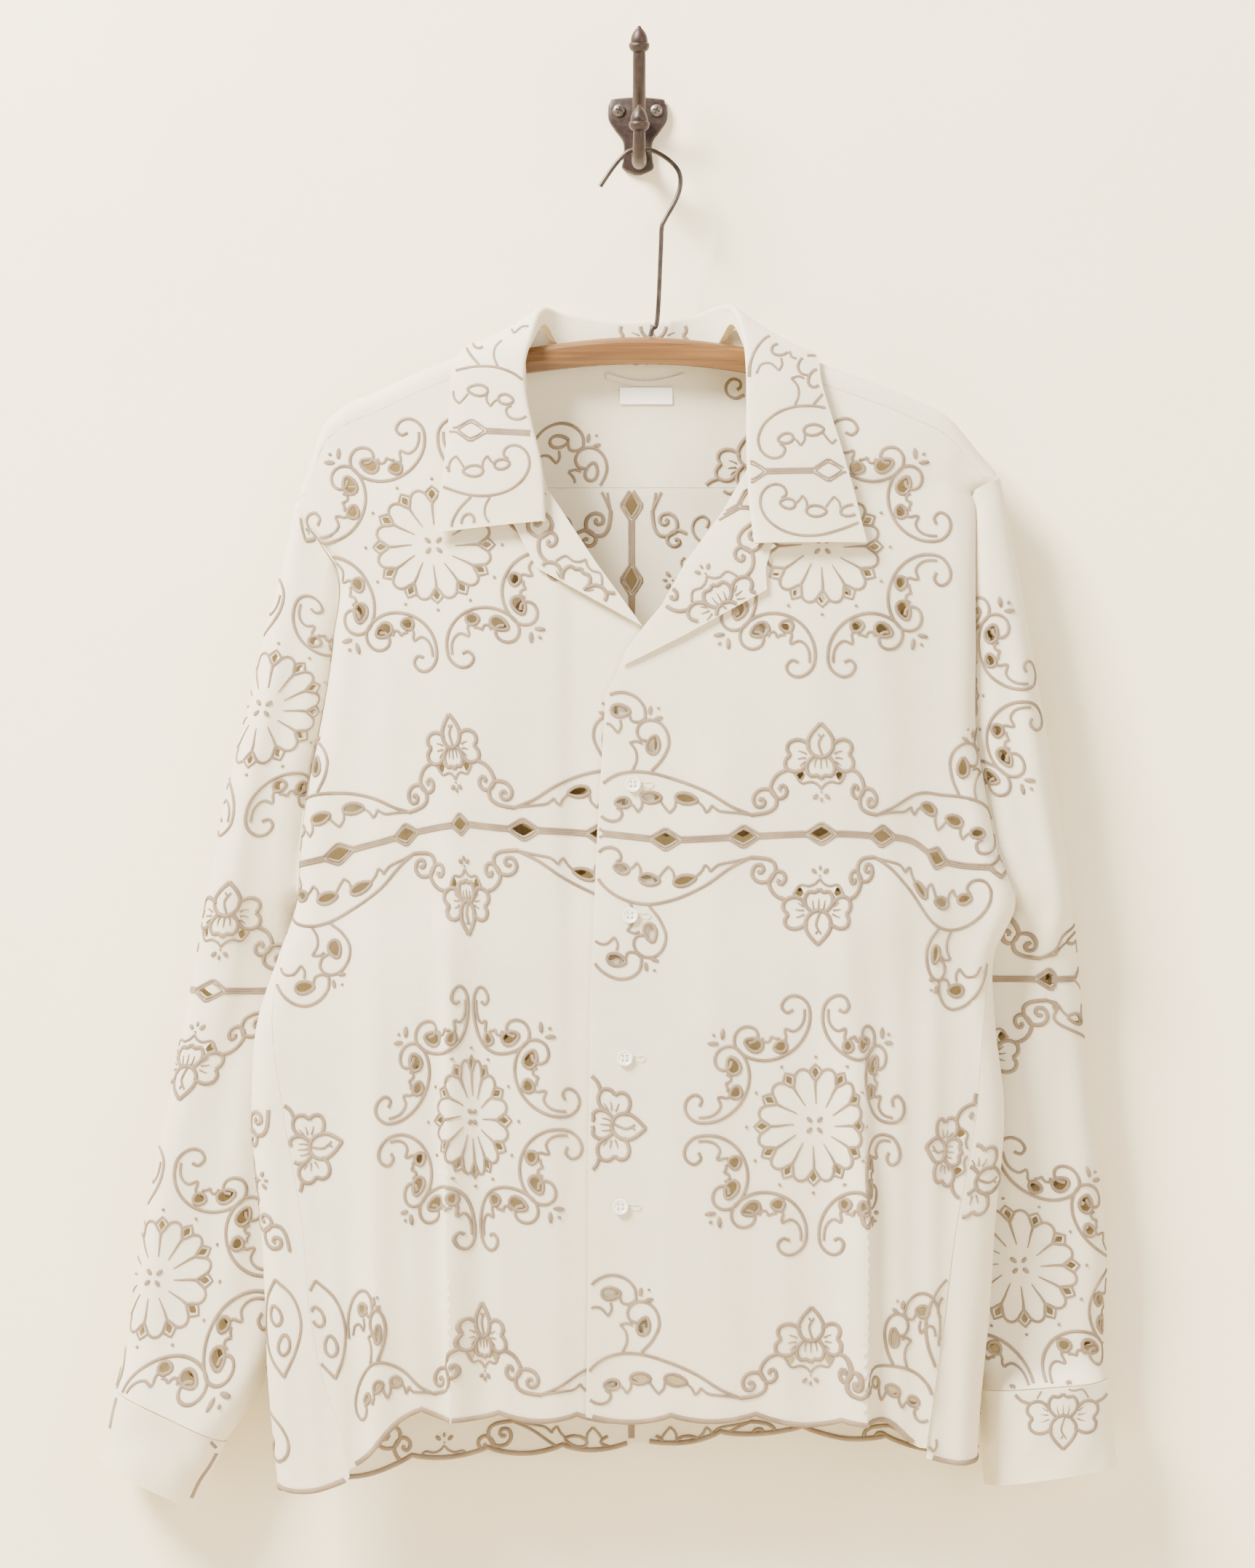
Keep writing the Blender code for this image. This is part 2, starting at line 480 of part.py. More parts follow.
# Where the lotus column of each front hangs, and how far the band is pulled down beside it
COLUMN = {
    -1: Table(
        "z x",
        (-0.8600, -0.0960), (-0.7650, -0.0998), (-0.6444, -0.1058), (-0.5255, -0.1085),
        (-0.4550, -0.1141), (-0.4000, -0.1200), (-0.2720, -0.1321), (-0.2000, -0.1340),
    ),
    1: Table(
        "z x",
        (-0.8600, 0.1100), (-0.8000, 0.1105), (-0.6470, 0.1128), (-0.5050, 0.1157),
        (-0.4600, 0.1175), (-0.4100, 0.1171), (-0.2770, 0.1189), (-0.2000, 0.1195),
    ),
}
SAG = Table(
    "x dz",
    (-0.2600, -0.0230), (-0.2350, -0.0200), (-0.1980, -0.0100), (-0.1537, 0.0), (-0.1140, 0.0049),
    (-0.0730, 0.0020), (-0.0270, -0.0007), (0.0180, -0.0050), (0.0690, -0.0030), (0.1175, -0.0013),
    (0.1560, -0.0024), (0.1910, -0.0060), (0.2170, -0.0170), (0.2400, -0.0220), (0.2600, -0.0230),
)
# Cloth that a fold takes up: its place (the column where None), its width, and the amount
GATHERS = {
    -1: (
        (None, 0.011, Table("z take", (-0.90, 0.0090), (-0.78, 0.0105), (-0.70, 0.0135), (-0.645, 0.0145),
                            (-0.56, 0.0148), (-0.50, 0.0105), (-0.46, 0.0100), (-0.40, 0.0060), (-0.30, 0.0),
                            (-0.15, 0.0))),
        (-0.150, 0.014, Table("z take", (-0.90, 0.014), (-0.76, 0.013), (-0.70, 0.006), (-0.645, 0.004),
                              (-0.40, 0.004), (-0.30, 0.0))),
        (-0.172, 0.010, Table("z take", (-0.90, 0.011), (-0.76, 0.011), (-0.70, 0.002), (-0.645, 0.0))),
    ),
    1: (
        (0.144, 0.012, Table("z take", (-0.90, 0.0285), (-0.78, 0.0275), (-0.71, 0.017), (-0.645, 0.0125),
                             (-0.46, 0.006), (-0.33, 0.0))),
        (0.185, 0.014, Table("z take", (-0.90, 0.006), (-0.46, 0.007), (-0.38, 0.0))),
    ),
}
SLEEVE_COLUMN = {
    -1: Table(
        "w across",
        (-0.8300, 0.0400), (-0.7380, 0.0373), (-0.6010, 0.0265), (-0.5635, 0.0210), (-0.5150, 0.0162),
        (-0.3800, 0.0144), (-0.2600, 0.0080),
    ),
    1: Table(
        "w across",
        (-0.8300, -0.0020), (-0.7482, -0.0088), (-0.6500, -0.0300), (-0.5560, -0.0434),
        (-0.4200, -0.0600), (-0.2600, -0.0600),
    ),
}


def eyelet(x, z, length, width, angle=0.0, sides=6):
    turned = math.radians(angle)
    points = []
    for k in range(sides):
        a = 2 * math.pi * k / sides
        u, v = length / 2 * math.cos(a), width / 2 * math.sin(a)
        across = x + u * math.cos(turned) - v * math.sin(turned)
        up = z + u * math.sin(turned) + v * math.cos(turned)
        points.append((across, up))
    return np.array(points)


def turned_gaps(gaps, at, turn=0.0, flip=(1, 1)):
    c, s = math.cos(math.radians(turn)), math.sin(math.radians(turn))
    return [(gap * flip) @ np.array([[c, s], [-s, c]]) + at for gap in gaps]


def rosette_gaps(fine):
    gaps = []
    scroll = [eyelet(*gap) for gap in GAPS if fine or gap[2] > FINE_GAP]
    for turn in (0, 90, 180, 270):
        for flip in ((1, 1), (1, -1)):
            gaps += turned_gaps(scroll, (0.0, 0.0), turn, flip)
    if fine:
        petal = [(r * math.cos(math.radians(a)), r * math.sin(math.radians(a))) for r, a in PETAL_GAP]
        for k in range(PETALS):
            gaps += turned_gaps([np.array(petal)], (0.0, 0.0), 360.0 / PETALS * k)
    return gaps


def half_band_gaps(fine):
    side = [eyelet(*gap) for gap in BAND_GAPS if fine or gap[2] > FINE_GAP]
    return turned_gaps(side, (0.0, 0.0)) + turned_gaps(side, (0.0, 0.0), 0.0, (-1, 1))


def column_gaps(fine):
    """All gaps round one lotus column, the largest kinds first."""
    gaps = [eyelet(LOZENGE_PITCH * k, BAND_Z, *LOZENGE_GAP, 0.0, 4) for k in range(-4, 5)]
    half = half_band_gaps(fine)
    for foot, up in ((BAND_Z, 1), (BAND_Z, -1), (HEM_BAND_Z, 1), (2 * BAND_Z - HEM_BAND_Z, -1)):
        gaps += turned_gaps(half, (0.0, foot), 0.0, (1, up))
    for z in ROSETTE_Z:
        gaps += turned_gaps(rosette_gaps(fine), (0.0, z))
    if fine:
        across, height, length, width, angle, sides = BAND_GAPS[0]
        flower = [eyelet(flip * across, height, length, width, flip * angle, sides) for flip in (-1, 1)]
        pointed = turned_gaps(flower, (0.0, 0.0), 90.0)
        for side in (-1, 1):
            gaps += turned_gaps(pointed, (side * SIDE_FLOWER[0], SIDE_FLOWER[1]), 0.0, (side, 1))
    return gaps


def hang_gap(gap, sign):
    """A gap moved from the flat pattern to where the cloth of this front hangs."""
    column = COLUMN[sign]
    p, h = gap[:, 0], gap[:, 1]
    share = ease((-0.24 - h) / 0.14) * (1.0 - 0.45 * ease((-0.55 - h) / 0.25))
    z = h + SAG.at("dz", column.at("x", h) + p) * share
    x = column.at("x", z) + p
    for _ in range(30):
        taken, steepest = np.zeros_like(p), np.ones_like(p)
        for place, width, table in GATHERS[sign]:
            middle = column.at("x", z) if place is None else place
            taken += table.at("take", z) * np.tanh((x - middle) / width)
            steepest += table.at("take", z) / width
            if place is not None:
                taken += table.at("take", z) * np.tanh((place - column.at("x", z)) / width)
        x = x - (x + taken - column.at("x", z) - p) / steepest
    return np.stack([x, z], axis=-1)


def sleeve_gap(gap, sign):
    w = gap[:, 1] + SLEEVE_SHIFT[sign]
    x = SLEEVE_COLUMN[sign].at("across", w) + gap[:, 0] * sign
    if sign > 0:
        x = x - 0.0115 * np.tanh((x - 0.020) / 0.008) * ease((-0.50 - w) / 0.05) * ease((w + 0.66) / 0.08)
    return np.stack([x, w], axis=-1)


def inside(points, polygon):
    """True for each point inside the polygon."""
    x, z = points[:, 0:1], points[:, 1:2]
    a = np.asarray(polygon)
    b = np.roll(a, -1, axis=0)
    spans = (a[:, 1] > z) != (b[:, 1] > z)
    rise = np.where(b[:, 1] == a[:, 1], 1e-12, b[:, 1] - a[:, 1])
    crossing = a[:, 0] + (z - a[:, 1]) * (b[:, 0] - a[:, 0]) / rise
    return (spans & (x < crossing)).sum(axis=1) % 2 == 1


def distance(points, line, closed=True):
    """Distance of each point from a line of points."""
    a = np.asarray(line)
    b = np.roll(a, -1, axis=0)
    if not closed:
        a, b = a[:-1], b[:-1]
    run = b - a
    t = ((points[:, None] - a) * run).sum(-1) / np.maximum((run ** 2).sum(-1), 1e-16)
    nearest = a + np.clip(t, 0.0, 1.0)[..., None] * run
    return np.sqrt(((points[:, None] - nearest) ** 2).sum(-1)).min(axis=1)


def clear_gaps(gaps, outline, margin=0.0035):
    """The gaps that lie wholly inside the outline, wide enough and apart from each other."""
    kept = []
    for gap in gaps:
        ring = np.asarray(gap)
        if not inside(ring, outline).all() or distance(ring, outline).min() < margin:
            continue
        if any(distance(ring, other).min() < 0.0022 or inside(ring, other).any() for other in kept):
            continue
        kept.append(gap)
    return kept


def cut_flat(outline, gaps, step, rows=None):
    """Triangles that fill an outline around its gaps, with inner points in rows."""
    outline = np.asarray(outline)
    low, high = outline.min(axis=0), outline.max(axis=0)
    grid = []
    for row, w in enumerate(rows or np.arange(low[1] + step[1] / 2, high[1], step[1])):
        offset = step[0] / 2 * (row % 2)
        grid += [(p, w) for p in np.arange(low[0] + offset, high[0], step[0])]
    grid = np.array(grid)
    grid = grid[inside(grid, outline)]
    grid = grid[distance(grid, outline) > 0.25 * step[0]]
    for gap in gaps:
        grid = grid[distance(grid, gap) > 0.4 * step[0]]
        grid = grid[~inside(grid, gap)]
    rings = [outline] + [np.asarray(gap) for gap in gaps]
    points, edges = [], []
    for ring in rings:
        first = len(points)
        points += [tuple(p) for p in ring]
        edges += [(first + k, first + (k + 1) % len(ring)) for k in range(len(ring))]
    points += [tuple(p) for p in grid]
    flat = [Vector(p) for p in points]
    verts, _, faces, _, _, _ = delaunay_2d_cdt(flat, edges, [], 0, 1e-7)
    verts = np.array([tuple(v) for v in verts])
    faces = np.array(faces)
    centre = verts[faces].mean(axis=1)
    keep = inside(centre, outline)
    for gap in gaps:
        keep &= ~inside(centre, gap)
    faces = faces[keep]
    used = np.unique(faces)
    index = np.zeros(len(verts), int)
    index[used] = np.arange(len(used))
    return verts[used], index[faces]


def mesh_normals(points, faces):
    corner = points[faces]
    face_normal = np.cross(corner[:, 1] - corner[:, 0], corner[:, 2] - corner[:, 0])
    normal = np.zeros_like(points)
    for k in range(3):
        np.add.at(normal, faces[:, k], face_normal)
    return normal / np.linalg.norm(normal, axis=1)[:, None]


def surface_normals(surface, flat, reach=0.0004):
    """The way each point faces, from the shape itself, so that walls meet at their seams."""
    across = surface(flat + (reach, 0.0)) - surface(flat - (reach, 0.0))
    upward = surface(flat + (0.0, reach)) - surface(flat - (0.0, reach))
    normal = np.cross(across, upward)
    return normal / np.linalg.norm(normal, axis=1)[:, None]


def thicken(points, faces, wall, normal=None):
    """A closed wall from a sheet of triangles: both faces, and a strip along each free edge."""
    if normal is None:
        normal = mesh_normals(points, faces)
    count = len(points)
    every = np.concatenate([points + normal * wall / 2, points - normal * wall / 2])
    ends = np.concatenate([faces[:, [0, 1]], faces[:, [1, 2]], faces[:, [2, 0]]])
    there = {tuple(e) for e in ends}
    free = [(a, b) for a, b in there if (b, a) not in there]
    strips = [(b, a, a + count) for a, b in free] + [(b, a + count, b + count) for a, b in free]
    return every, np.concatenate([faces, faces[:, ::-1] + count, np.array(strips)])


def cloth_piece(name, outline, gaps, surface, step, finish, rows=None):
    gaps = clear_gaps(gaps, np.asarray(outline)) if gaps else []
    flat, faces = cut_flat(outline, gaps, step, rows)
    points, faces = thicken(surface(flat), faces, CLOTH, surface_normals(surface, flat))
    return new_object(name, points, faces, finish), len(gaps)


def run(start, end, step):
    """Values from start to end, end left out, about a step apart."""
    count = max(2, int(math.ceil(abs(end - start) / step)))
    return list(np.linspace(start, end, count, endpoint=False))


def scalloped(table, start, end, step=3):
    """The hem from start to end as points, with its scallops."""
    count = max(1, round(abs(end - start) / SCALLOP_PITCH))
    points = []
    for k in range(count * step):
        x = start + (end - start) * k / (count * step)
        dip = abs(math.sin(math.pi * k / step))
        points.append((x, float(table.at("z", x)) - SCALLOP_DEPTH * dip))
    return points


def seam_line(z_foot, sign, side):
    """The side seam and armhole, from the hem up, at heights that both pieces share."""
    top = ARMHOLE_TOP_Z[sign]
    heights = [z for z in np.arange(top, z_foot, -SEAM_STEP) if z > z_foot + SEAM_STEP / 3][::-1]
    return [(float(seam_across(z, sign, side)), float(z)) for z in [z_foot] + heights]


def front_outline(sign):
    """Outline of a front: roll line, placket or underlap, hem, side seam, armhole, shoulder."""
    roll = LEFT_ROLL if sign > 0 else RIGHT_ROLL
    hem_x = float(seam_across(-0.86, sign, -1))
    if sign > 0:
        edge = [(float(PLACKET.at("x", z)), z) for z in run(-0.3704, -0.8330, 0.045)]
        hem = scalloped(FRONT_HEM, float(PLACKET.at("x", -0.8328)), hem_x)
    else:
        edge = [(UNDERLAP_X, z) for z in run(-0.3620, -0.8330, 0.05)]
        hem = scalloped(FRONT_HEM, UNDERLAP_X, hem_x)
    foot = float(FRONT_HEM.at("z", hem_x))
    side = seam_line(foot, sign, -1)
    seam = []
    for x in run(SHOULDER_END[sign], 0.0735, 0.022):
        seam.append((sign * x, float(RIDGE.at("z", sign * x)) - YOKE_DROP - SEAM))
    return list(roll) + edge + hem + side + seam


def ccw(points):
    """The outline with its inside on the left as it runs."""
    a = np.asarray(points)
    b = np.roll(a, -1, axis=0)
    area = (a[:, 0] * b[:, 1] - b[:, 0] * a[:, 1]).sum()
    return list(points) if area > 0 else list(points)[::-1]


def make_fronts(cloth):
    made = 0
    fronts = ((1, "left_front", front_surface), (-1, "right_front", under_front_surface))
    for sign, name, surface in fronts:
        gaps = [hang_gap(gap, sign) for gap in column_gaps(True)]
        outline = ccw(front_outline(sign))
        made += cloth_piece(name, outline, gaps, surface, (0.016, 0.038), cloth)[1]
    return made


def make_back(cloth):
    top = YOKE_BACK_Z - SEAM
    outline = []
    for sign in (1, -1):
        foot_z = -0.8620 if sign > 0 else -0.8740
        across = run(0.0, 0.2150 if sign > 0 else 0.2120, 0.03)
        half = [(sign * x, top) for x in across]
        half += seam_line(foot_z, sign, 1)[::-1]
        half += scalloped(BACK_HEM, half[-1][0], 0.0)[1:]
        outline += half if sign > 0 else half[::-1]
    heights = [CHAIN_TOP_Z - CHAIN_PITCH * k for k in range(CHAIN_LOZENGES)]
    gaps = [eyelet(MIDDLE_X, z, *LOZENGE_GAP, 90.0, 4) for z in heights]
    near = [gap for gap in column_gaps(False) if abs(gap[:, 0]).max() < BACK_COLUMN_REACH]
    for x in BACK_COLUMNS:
        gaps += turned_gaps(near, (x, 0.0))
    return cloth_piece("shirt_back", ccw(outline), gaps, back_surface, (0.023, 0.040), cloth)[1]


def make_yoke(cloth):
    front_t = -float(along_of(YOKE_DROP))
    outline = []
    for sign in (1, -1):
        end = SHOULDER_END[sign]
        tip = 0.2335 if sign > 0 else 0.2210
        half = [(sign * x, float(RIDGE.at("z", x)) + up) for x, up in NECK_ABOVE_RIDGE]
        half += [(sign * x, t) for x, t in NECK_SIDE]
        half += [(sign * x, front_t) for x in run(0.0735, end, 0.022)]
        half += [(sign * end, front_t), (sign * tip, -0.0060), (sign * (tip + 0.0006), 0.0)]
        for x in run(0.2150 if sign > 0 else 0.2120, 0.0, 0.022):
            half.append((sign * x, float(along_of(float(RIDGE.at("z", sign * x)) - YOKE_BACK_Z))))
        outline += half if sign > 0 else half[::-1][:-1]
    return cloth_piece("yoke", ccw(outline), [], yoke_surface, (0.022, 0.016), cloth, YOKE_ROWS)[1]


def lapel_surface(roll):
    def lay(points):
        placed = torso(points[:, 0], points[:, 1], -1)
        away = distance(points, roll, closed=False)
        lift = 0.0016 + 0.0016 * (1.0 - np.exp(-away / 0.012))
        placed[:, 1] -= lift
        return placed

    return lay


def make_lapels(cloth):
    inset = 0.0006
    left = [(x + inset, z + inset) for x, z in LEFT_ROLL[2:8]]
    left = [(0.0735, -0.2050)] + left + list(LEFT_LAPEL[::-1])
    left += [(0.0820, -0.2900), (0.0900, -0.2620), (0.0920, -0.2200)]
    right = [(x - inset, z + inset) for x, z in RIGHT_ROLL[3:6]]
    right = [(-0.0660, -0.2100)] + right + list(RIGHT_LAPEL) + [(-0.0800, -0.2620), (-0.0850, -0.2200)]
    cloth_piece("left_lapel", ccw(left), [], lapel_surface(LEFT_ROLL), (0.014, 0.016), cloth)
    cloth_piece("right_lapel", ccw(right), [], lapel_surface(RIGHT_ROLL), (0.014, 0.016), cloth)


def smooth_rows(rows, times):
    """More rows along a smooth curve through the given ones."""
    rows = np.asarray(rows, float)
    where = np.arange(len(rows), dtype=float)
    fine = np.linspace(0, len(rows) - 1, (len(rows) - 1) * times + 1)
    made = []
    for column in rows.reshape(len(rows), -1).T:
        table = Table("t v", *zip(where, column))
        made.append(table.at("v", fine))
    return np.array(made).T.reshape((len(fine),) + rows.shape[1:])


def collar_stations():
    rows = [list(row) for row in RIGHT_COLLAR[::-1]] + [list(row) for row in LEFT_COLLAR]
    for row in rows:
        stand = STAND_LIFT[int(row[2] < LAPEL_TOP_Z)]
        for first, lift in ((0, stand), (3, COLLAR_LIFT), (6, COLLAR_LIFT)):
            if row[first + 1] == 0.0:
                row[first + 1] = float(torso(row[first], row[first + 2], -1)[1]) - lift
    return np.array(rows).reshape(-1, 3, 3)


def make_collar(cloth):
    stations = smooth_rows(collar_stations(), 2)
    along = np.gradient(stations[:, 1], axis=0)
    sheet = []
    for (neck, roll, edge), way in zip(stations, along):
        out = (edge - roll) / np.linalg.norm(edge - roll)
        inward = -np.cross(way, out)
        inward /= np.linalg.norm(inward)
        turn = 0.0018
        back_of_roll = roll + out * turn + inward * turn
        front_of_roll = roll + out * turn - inward * turn
        bow = -inward * 0.0015
        line = [neck, (neck + back_of_roll) / 2, back_of_roll, roll, front_of_roll]
        for f in (0.33, 0.67):
            line.append(front_of_roll + (edge - front_of_roll) * f + bow * math.sin(math.pi * f))
        sheet.append(line + [edge])
    sheet = np.array(sheet)
    rows, columns = sheet.shape[:2]
    faces = []
    for i in range(rows - 1):
        for j in range(columns - 1):
            a, b = i * columns + j, i * columns + j + 1
            c, d = a + columns, b + columns
            faces += [(a, c, d), (a, d, b)]
    points, faces = thicken(sheet.reshape(-1, 3), np.array(faces), CLOTH)
    new_object("collar", points, faces, cloth)


def make_sleeves(cloth):
    made = 0
    for sign, name, table in ((-1, "right", RIGHT_SLEEVE), (1, "left", LEFT_SLEEVE)):
        top, foot = float(table.rows[-1, 0]), float(table.rows[0, 0])
        for half, part in ((-1, "front"), (1, "back")):
            outline = [(float(sleeve_reach(table, w)), w) for w in run(foot, top, 0.034)]
            reach = float(sleeve_reach(table, top))
            outline += [(x, top) for x in run(reach, -reach, 0.012)]
            outline += [(-float(sleeve_reach(table, w)), w) for w in run(top, foot, 0.034)]
            reach = float(sleeve_reach(table, foot))
            outline += [(x, foot) for x in run(-reach, reach, 0.014)]
            gaps = [sleeve_gap(gap, sign) for gap in column_gaps(False)]
            outline = ccw(outline)
            surface = sleeve_surface(table, sign, half)
            piece = f"{name}_sleeve_{part}"
            made += cloth_piece(piece, outline, gaps, surface, (0.015, 0.036), cloth)[1]
    return made


def make_cuffs(cloth):
    around, rows = 20, 3
    for name, cuff in CUFFS.items():
        sheet = []
        for i in range(rows):
            t = i / (rows - 1)
            outer = np.array(cuff["top"][0]) * (1 - t) + np.array(cuff["foot"][0]) * t
            inner = np.array(cuff["top"][1]) * (1 - t) + np.array(cuff["foot"][1]) * t
            middle, half = (outer + inner) / 2, (outer - inner) / 2
            for k in range(around):
                a = 2 * math.pi * k / around
                wide = math.copysign(abs(math.cos(a)) ** 0.85, math.cos(a))
                deep = math.copysign(abs(math.sin(a)) ** 0.85, math.sin(a))
                place = middle + half * wide
                sheet.append((cuff["side"] * place[0], cuff["y"] - cuff["radius"] * deep, place[1]))
        faces = []
        for i in range(rows - 1):
            for k in range(around):
                a, b = i * around + k, i * around + (k + 1) % around
                faces += [(a, b, b + around), (a, b + around, a + around)]
        points, faces = thicken(np.array(sheet), np.array(faces), CLOTH * 1.5)
        new_object(name, points, faces, cloth)


def plate_with_holes(outline, holes, step, thick):
    flat, faces = cut_flat(outline, holes, step)
    return thicken(np.c_[flat[:, 0], 0 * flat[:, 0], flat[:, 1]], faces, thick)


def make_buttons(finish):
    disc = eyelet(0.0, 0.0, 2 * BUTTON_RADIUS, 2 * BUTTON_RADIUS, 0.0, 18)
    corners = [(sx * BUTTON_HOLE_PLACE, sz * BUTTON_HOLE_PLACE) for sx in (-1, 1) for sz in (-1, 1)]
    holes = [eyelet(x, z, BUTTON_HOLE, BUTTON_HOLE, 45.0, 5) for x, z in corners]
    points, faces = plate_with_holes(disc, holes, (0.02, 0.02), BUTTON_THICK)
    for k, (x, z) in enumerate(BUTTONS, 1):
        rim = [(x + BUTTON_RADIUS * way, z + BUTTON_RADIUS * up) for way in (-1, 0, 1) for up in (-1, 0, 1)]
        y = float(front_surface(np.array(rim))[:, 1].min()) - CLOTH / 2 - BUTTON_THICK / 2 - SEAM
        new_object(f"button_{k}", points + np.array((x, y, z)), faces, finish)


def make_loop_and_label(cloth, tape):
    for name, finish, x0, x1, top, sag, height, lift in (
        ("hanging_loop", cloth, -0.0207, 0.0301, -0.1600, 0.0050, 0.0032, 0.0016),
        ("neck_label", tape, -0.0118, 0.0226, -0.1692, 0.0, 0.0108, 0.0012),
    ):
        across = np.linspace(x0, x1, 9 if sag else 5)
        sheet = []
        for x in across:
            droop = sag * math.sin(math.pi * (x - x0) / (x1 - x0))
            for z in (top - droop - height, top - droop):
                x_back, y, _ = torso(x, z, 1)
                sheet.append((x, y - lift, z))
        faces = []
        for i in range(len(across) - 1):
            a = 2 * i
            faces += [(a, a + 2, a + 3), (a, a + 3, a + 1)]
        points, faces = thicken(np.array(sheet), np.array(faces), 0.0010)
        new_object(name, points, faces, finish)


# Hanger and coat hook


def tube(centres, radii, sides):
    """A closed tube along a line of points."""
    centres = np.asarray(centres, float)
    along = np.gradient(centres, axis=0)
    along /= np.linalg.norm(along, axis=1)[:, None]
    side = np.cross(along[0], (0.31, 0.42, 0.85))
    points = []
    for centre, way, radius in zip(centres, along, radii):
        side = side - way * side.dot(way)
        side /= np.linalg.norm(side)
        up = np.cross(way, side)
        for k in range(sides):
            a = 2 * math.pi * k / sides
            points.append(centre + radius * (math.cos(a) * side + math.sin(a) * up))
    faces = []
    for i in range(len(centres) - 1):
        for k in range(sides):
            a, b = i * sides + k, i * sides + (k + 1) % sides
            faces.append((a, b, b + sides, a + sides))
    last = (len(centres) - 1) * sides
    faces.append(tuple(range(sides))[::-1])
    faces.append(tuple(range(last, last + sides)))
    return points, faces


def make_hanger(wood, steel):
    stations = np.linspace(-0.1900, 0.1990, 31)
    section = (
        (-0.5, -0.62), (-0.32, -1.0), (0.32, -1.0), (0.5, -0.80), (0.5, -0.22), (0.40, -0.09),
        (0.2, 0.0), (-0.2, 0.0), (-0.40, -0.09), (-0.5, -0.22),
    )
    arch = Table(
        "x z",
        (-0.1000, -0.1494), (-0.0720, -0.1448), (0.0, -0.1377), (0.0720, -0.1448), (0.1000, -0.1508),
    )
    points = []
    for x in stations:
        on_ridge = float(RIDGE.at("z", x)) - CLOTH / 2 - 0.0018
        share = float(ease((abs(x) - 0.085) / 0.03))
        top = on_ridge * share + float(arch.at("z", x)) * (1 - share)
        top = min(top, on_ridge)
        tall = 0.0172 - 0.0030 * abs(x) / 0.2
        thick = 0.0120
        for across, up in section:
            points.append((x, HANGER_Y + across * thick, top + up * tall))
    count = len(section)
    faces = []
    for i in range(len(stations) - 1):
        for k in range(count):
            a, b = i * count + k, i * count + (k + 1) % count
            faces.append((a, b, b + count, a + count))
    last = (len(stations) - 1) * count
    faces.append(tuple(range(count))[::-1])
    faces.append(tuple(range(last, last + count)))
    new_object("hanger_bar", points, faces, wood)
    route = smooth_rows([(x, HANGER_Y, z) for x, z in WIRE], 3)
    points, faces = tube(route, [WIRE_RADIUS] * len(route), 8)
    new_object("hanger_wire", points, faces, steel)


def turned_profile(profile, base, way, sides):
    base, way = np.asarray(base), np.asarray(way) / np.linalg.norm(way)
    centres = [base + way * height for height, _ in profile]
    return tube(centres, [radius for _, radius in profile], sides)


def make_coat_hook(iron, bright):
    foot, top = PLATE.rows[0, 0], PLATE.rows[-1, 0]
    heights = [foot] + run(foot + 0.0015, top, 0.0030) + [top]
    half = [(float(PLATE.at("half", z)), float(z)) for z in heights]
    outline = half + [(-x, z) for x, z in half[::-1]]
    count = len(outline)
    points = [(x, 0.0, z) for x, z in outline] + [(x * 0.94, -PLATE_THICK, z * 0.96) for x, z in outline]
    faces = [tuple(range(count))[::-1], tuple(range(count, 2 * count))]
    faces += [(k, (k + 1) % count, (k + 1) % count + count, k + count) for k in range(count)]
    hook = new_object("wall_hook", points, faces, iron)
    parts = []
    for name, prong in (("upper", UPPER_PRONG), ("lower", LOWER_PRONG)):
        rows = smooth_rows(prong, 2)
        centres = [(0.0008, y, z) for y, z, _ in rows]
        points, faces = tube(centres, rows[:, 2], 10)
        parts.append(new_object(f"{name}_prong_body", points, faces, iron))
        way = np.array(centres[-1]) - np.array(centres[-2])
        points, faces = turned_profile(ACORN, centres[-1], way, 12)
        parts.append(new_object(f"{name}_acorn_body", points, faces, iron))
    for part in parts:
        part.hide_render = True
        part.display_type = "WIRE"
        union = hook.modifiers.new("join " + part.name, "BOOLEAN")
        union.operation = "UNION"
        union.object = part
    for k, (x, z) in enumerate(SCREWS, 1):
        face_y = -PLATE_THICK - SEAM
        profile = ((0.0, SCREW_RADIUS), (0.0008, SCREW_RADIUS), (0.0016, SCREW_RADIUS * 0.6))
        points, faces = turned_profile(profile, (x, face_y, z), (0, -1, 0), 12)
        new_object(f"screw_{k}", points, faces, bright)


def main():
    clear_scene()
    cloth = material("cutwork_linen", (0.86, 0.83, 0.76), 0.90)
    tape = material("label_tape", (0.90, 0.90, 0.88), 0.85)
    pearl = material("pearl_button", (0.86, 0.84, 0.78), 0.25)
    wood = material("hanger_wood", (0.46, 0.21, 0.07), 0.45)
    steel = material("hook_wire", (0.16, 0.14, 0.12), 0.35, 1.0)
    iron = material("cast_iron", (0.07, 0.03, 0.025), 0.50, 0.6)
    bright = material("screw_steel", (0.30, 0.26, 0.24), 0.40, 1.0)
    gaps = make_fronts(cloth) + make_back(cloth) + make_sleeves(cloth)
    make_yoke(cloth)
    make_lapels(cloth)
    make_collar(cloth)
    make_cuffs(cloth)
    make_buttons(pearl)
    make_loop_and_label(cloth, tape)
    make_hanger(wood, steel)
    make_coat_hook(iron, bright)
    print("cutwork gaps:", gaps)


main()
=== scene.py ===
# Looks for a cutwork linen shirt that hangs on a wooden hanger from an iron coat hook
import math

import bmesh
import bpy
import numpy as np
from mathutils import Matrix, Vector
from mathutils.bvhtree import BVHTree
from mathutils.geometry import delaunay_2d_cdt


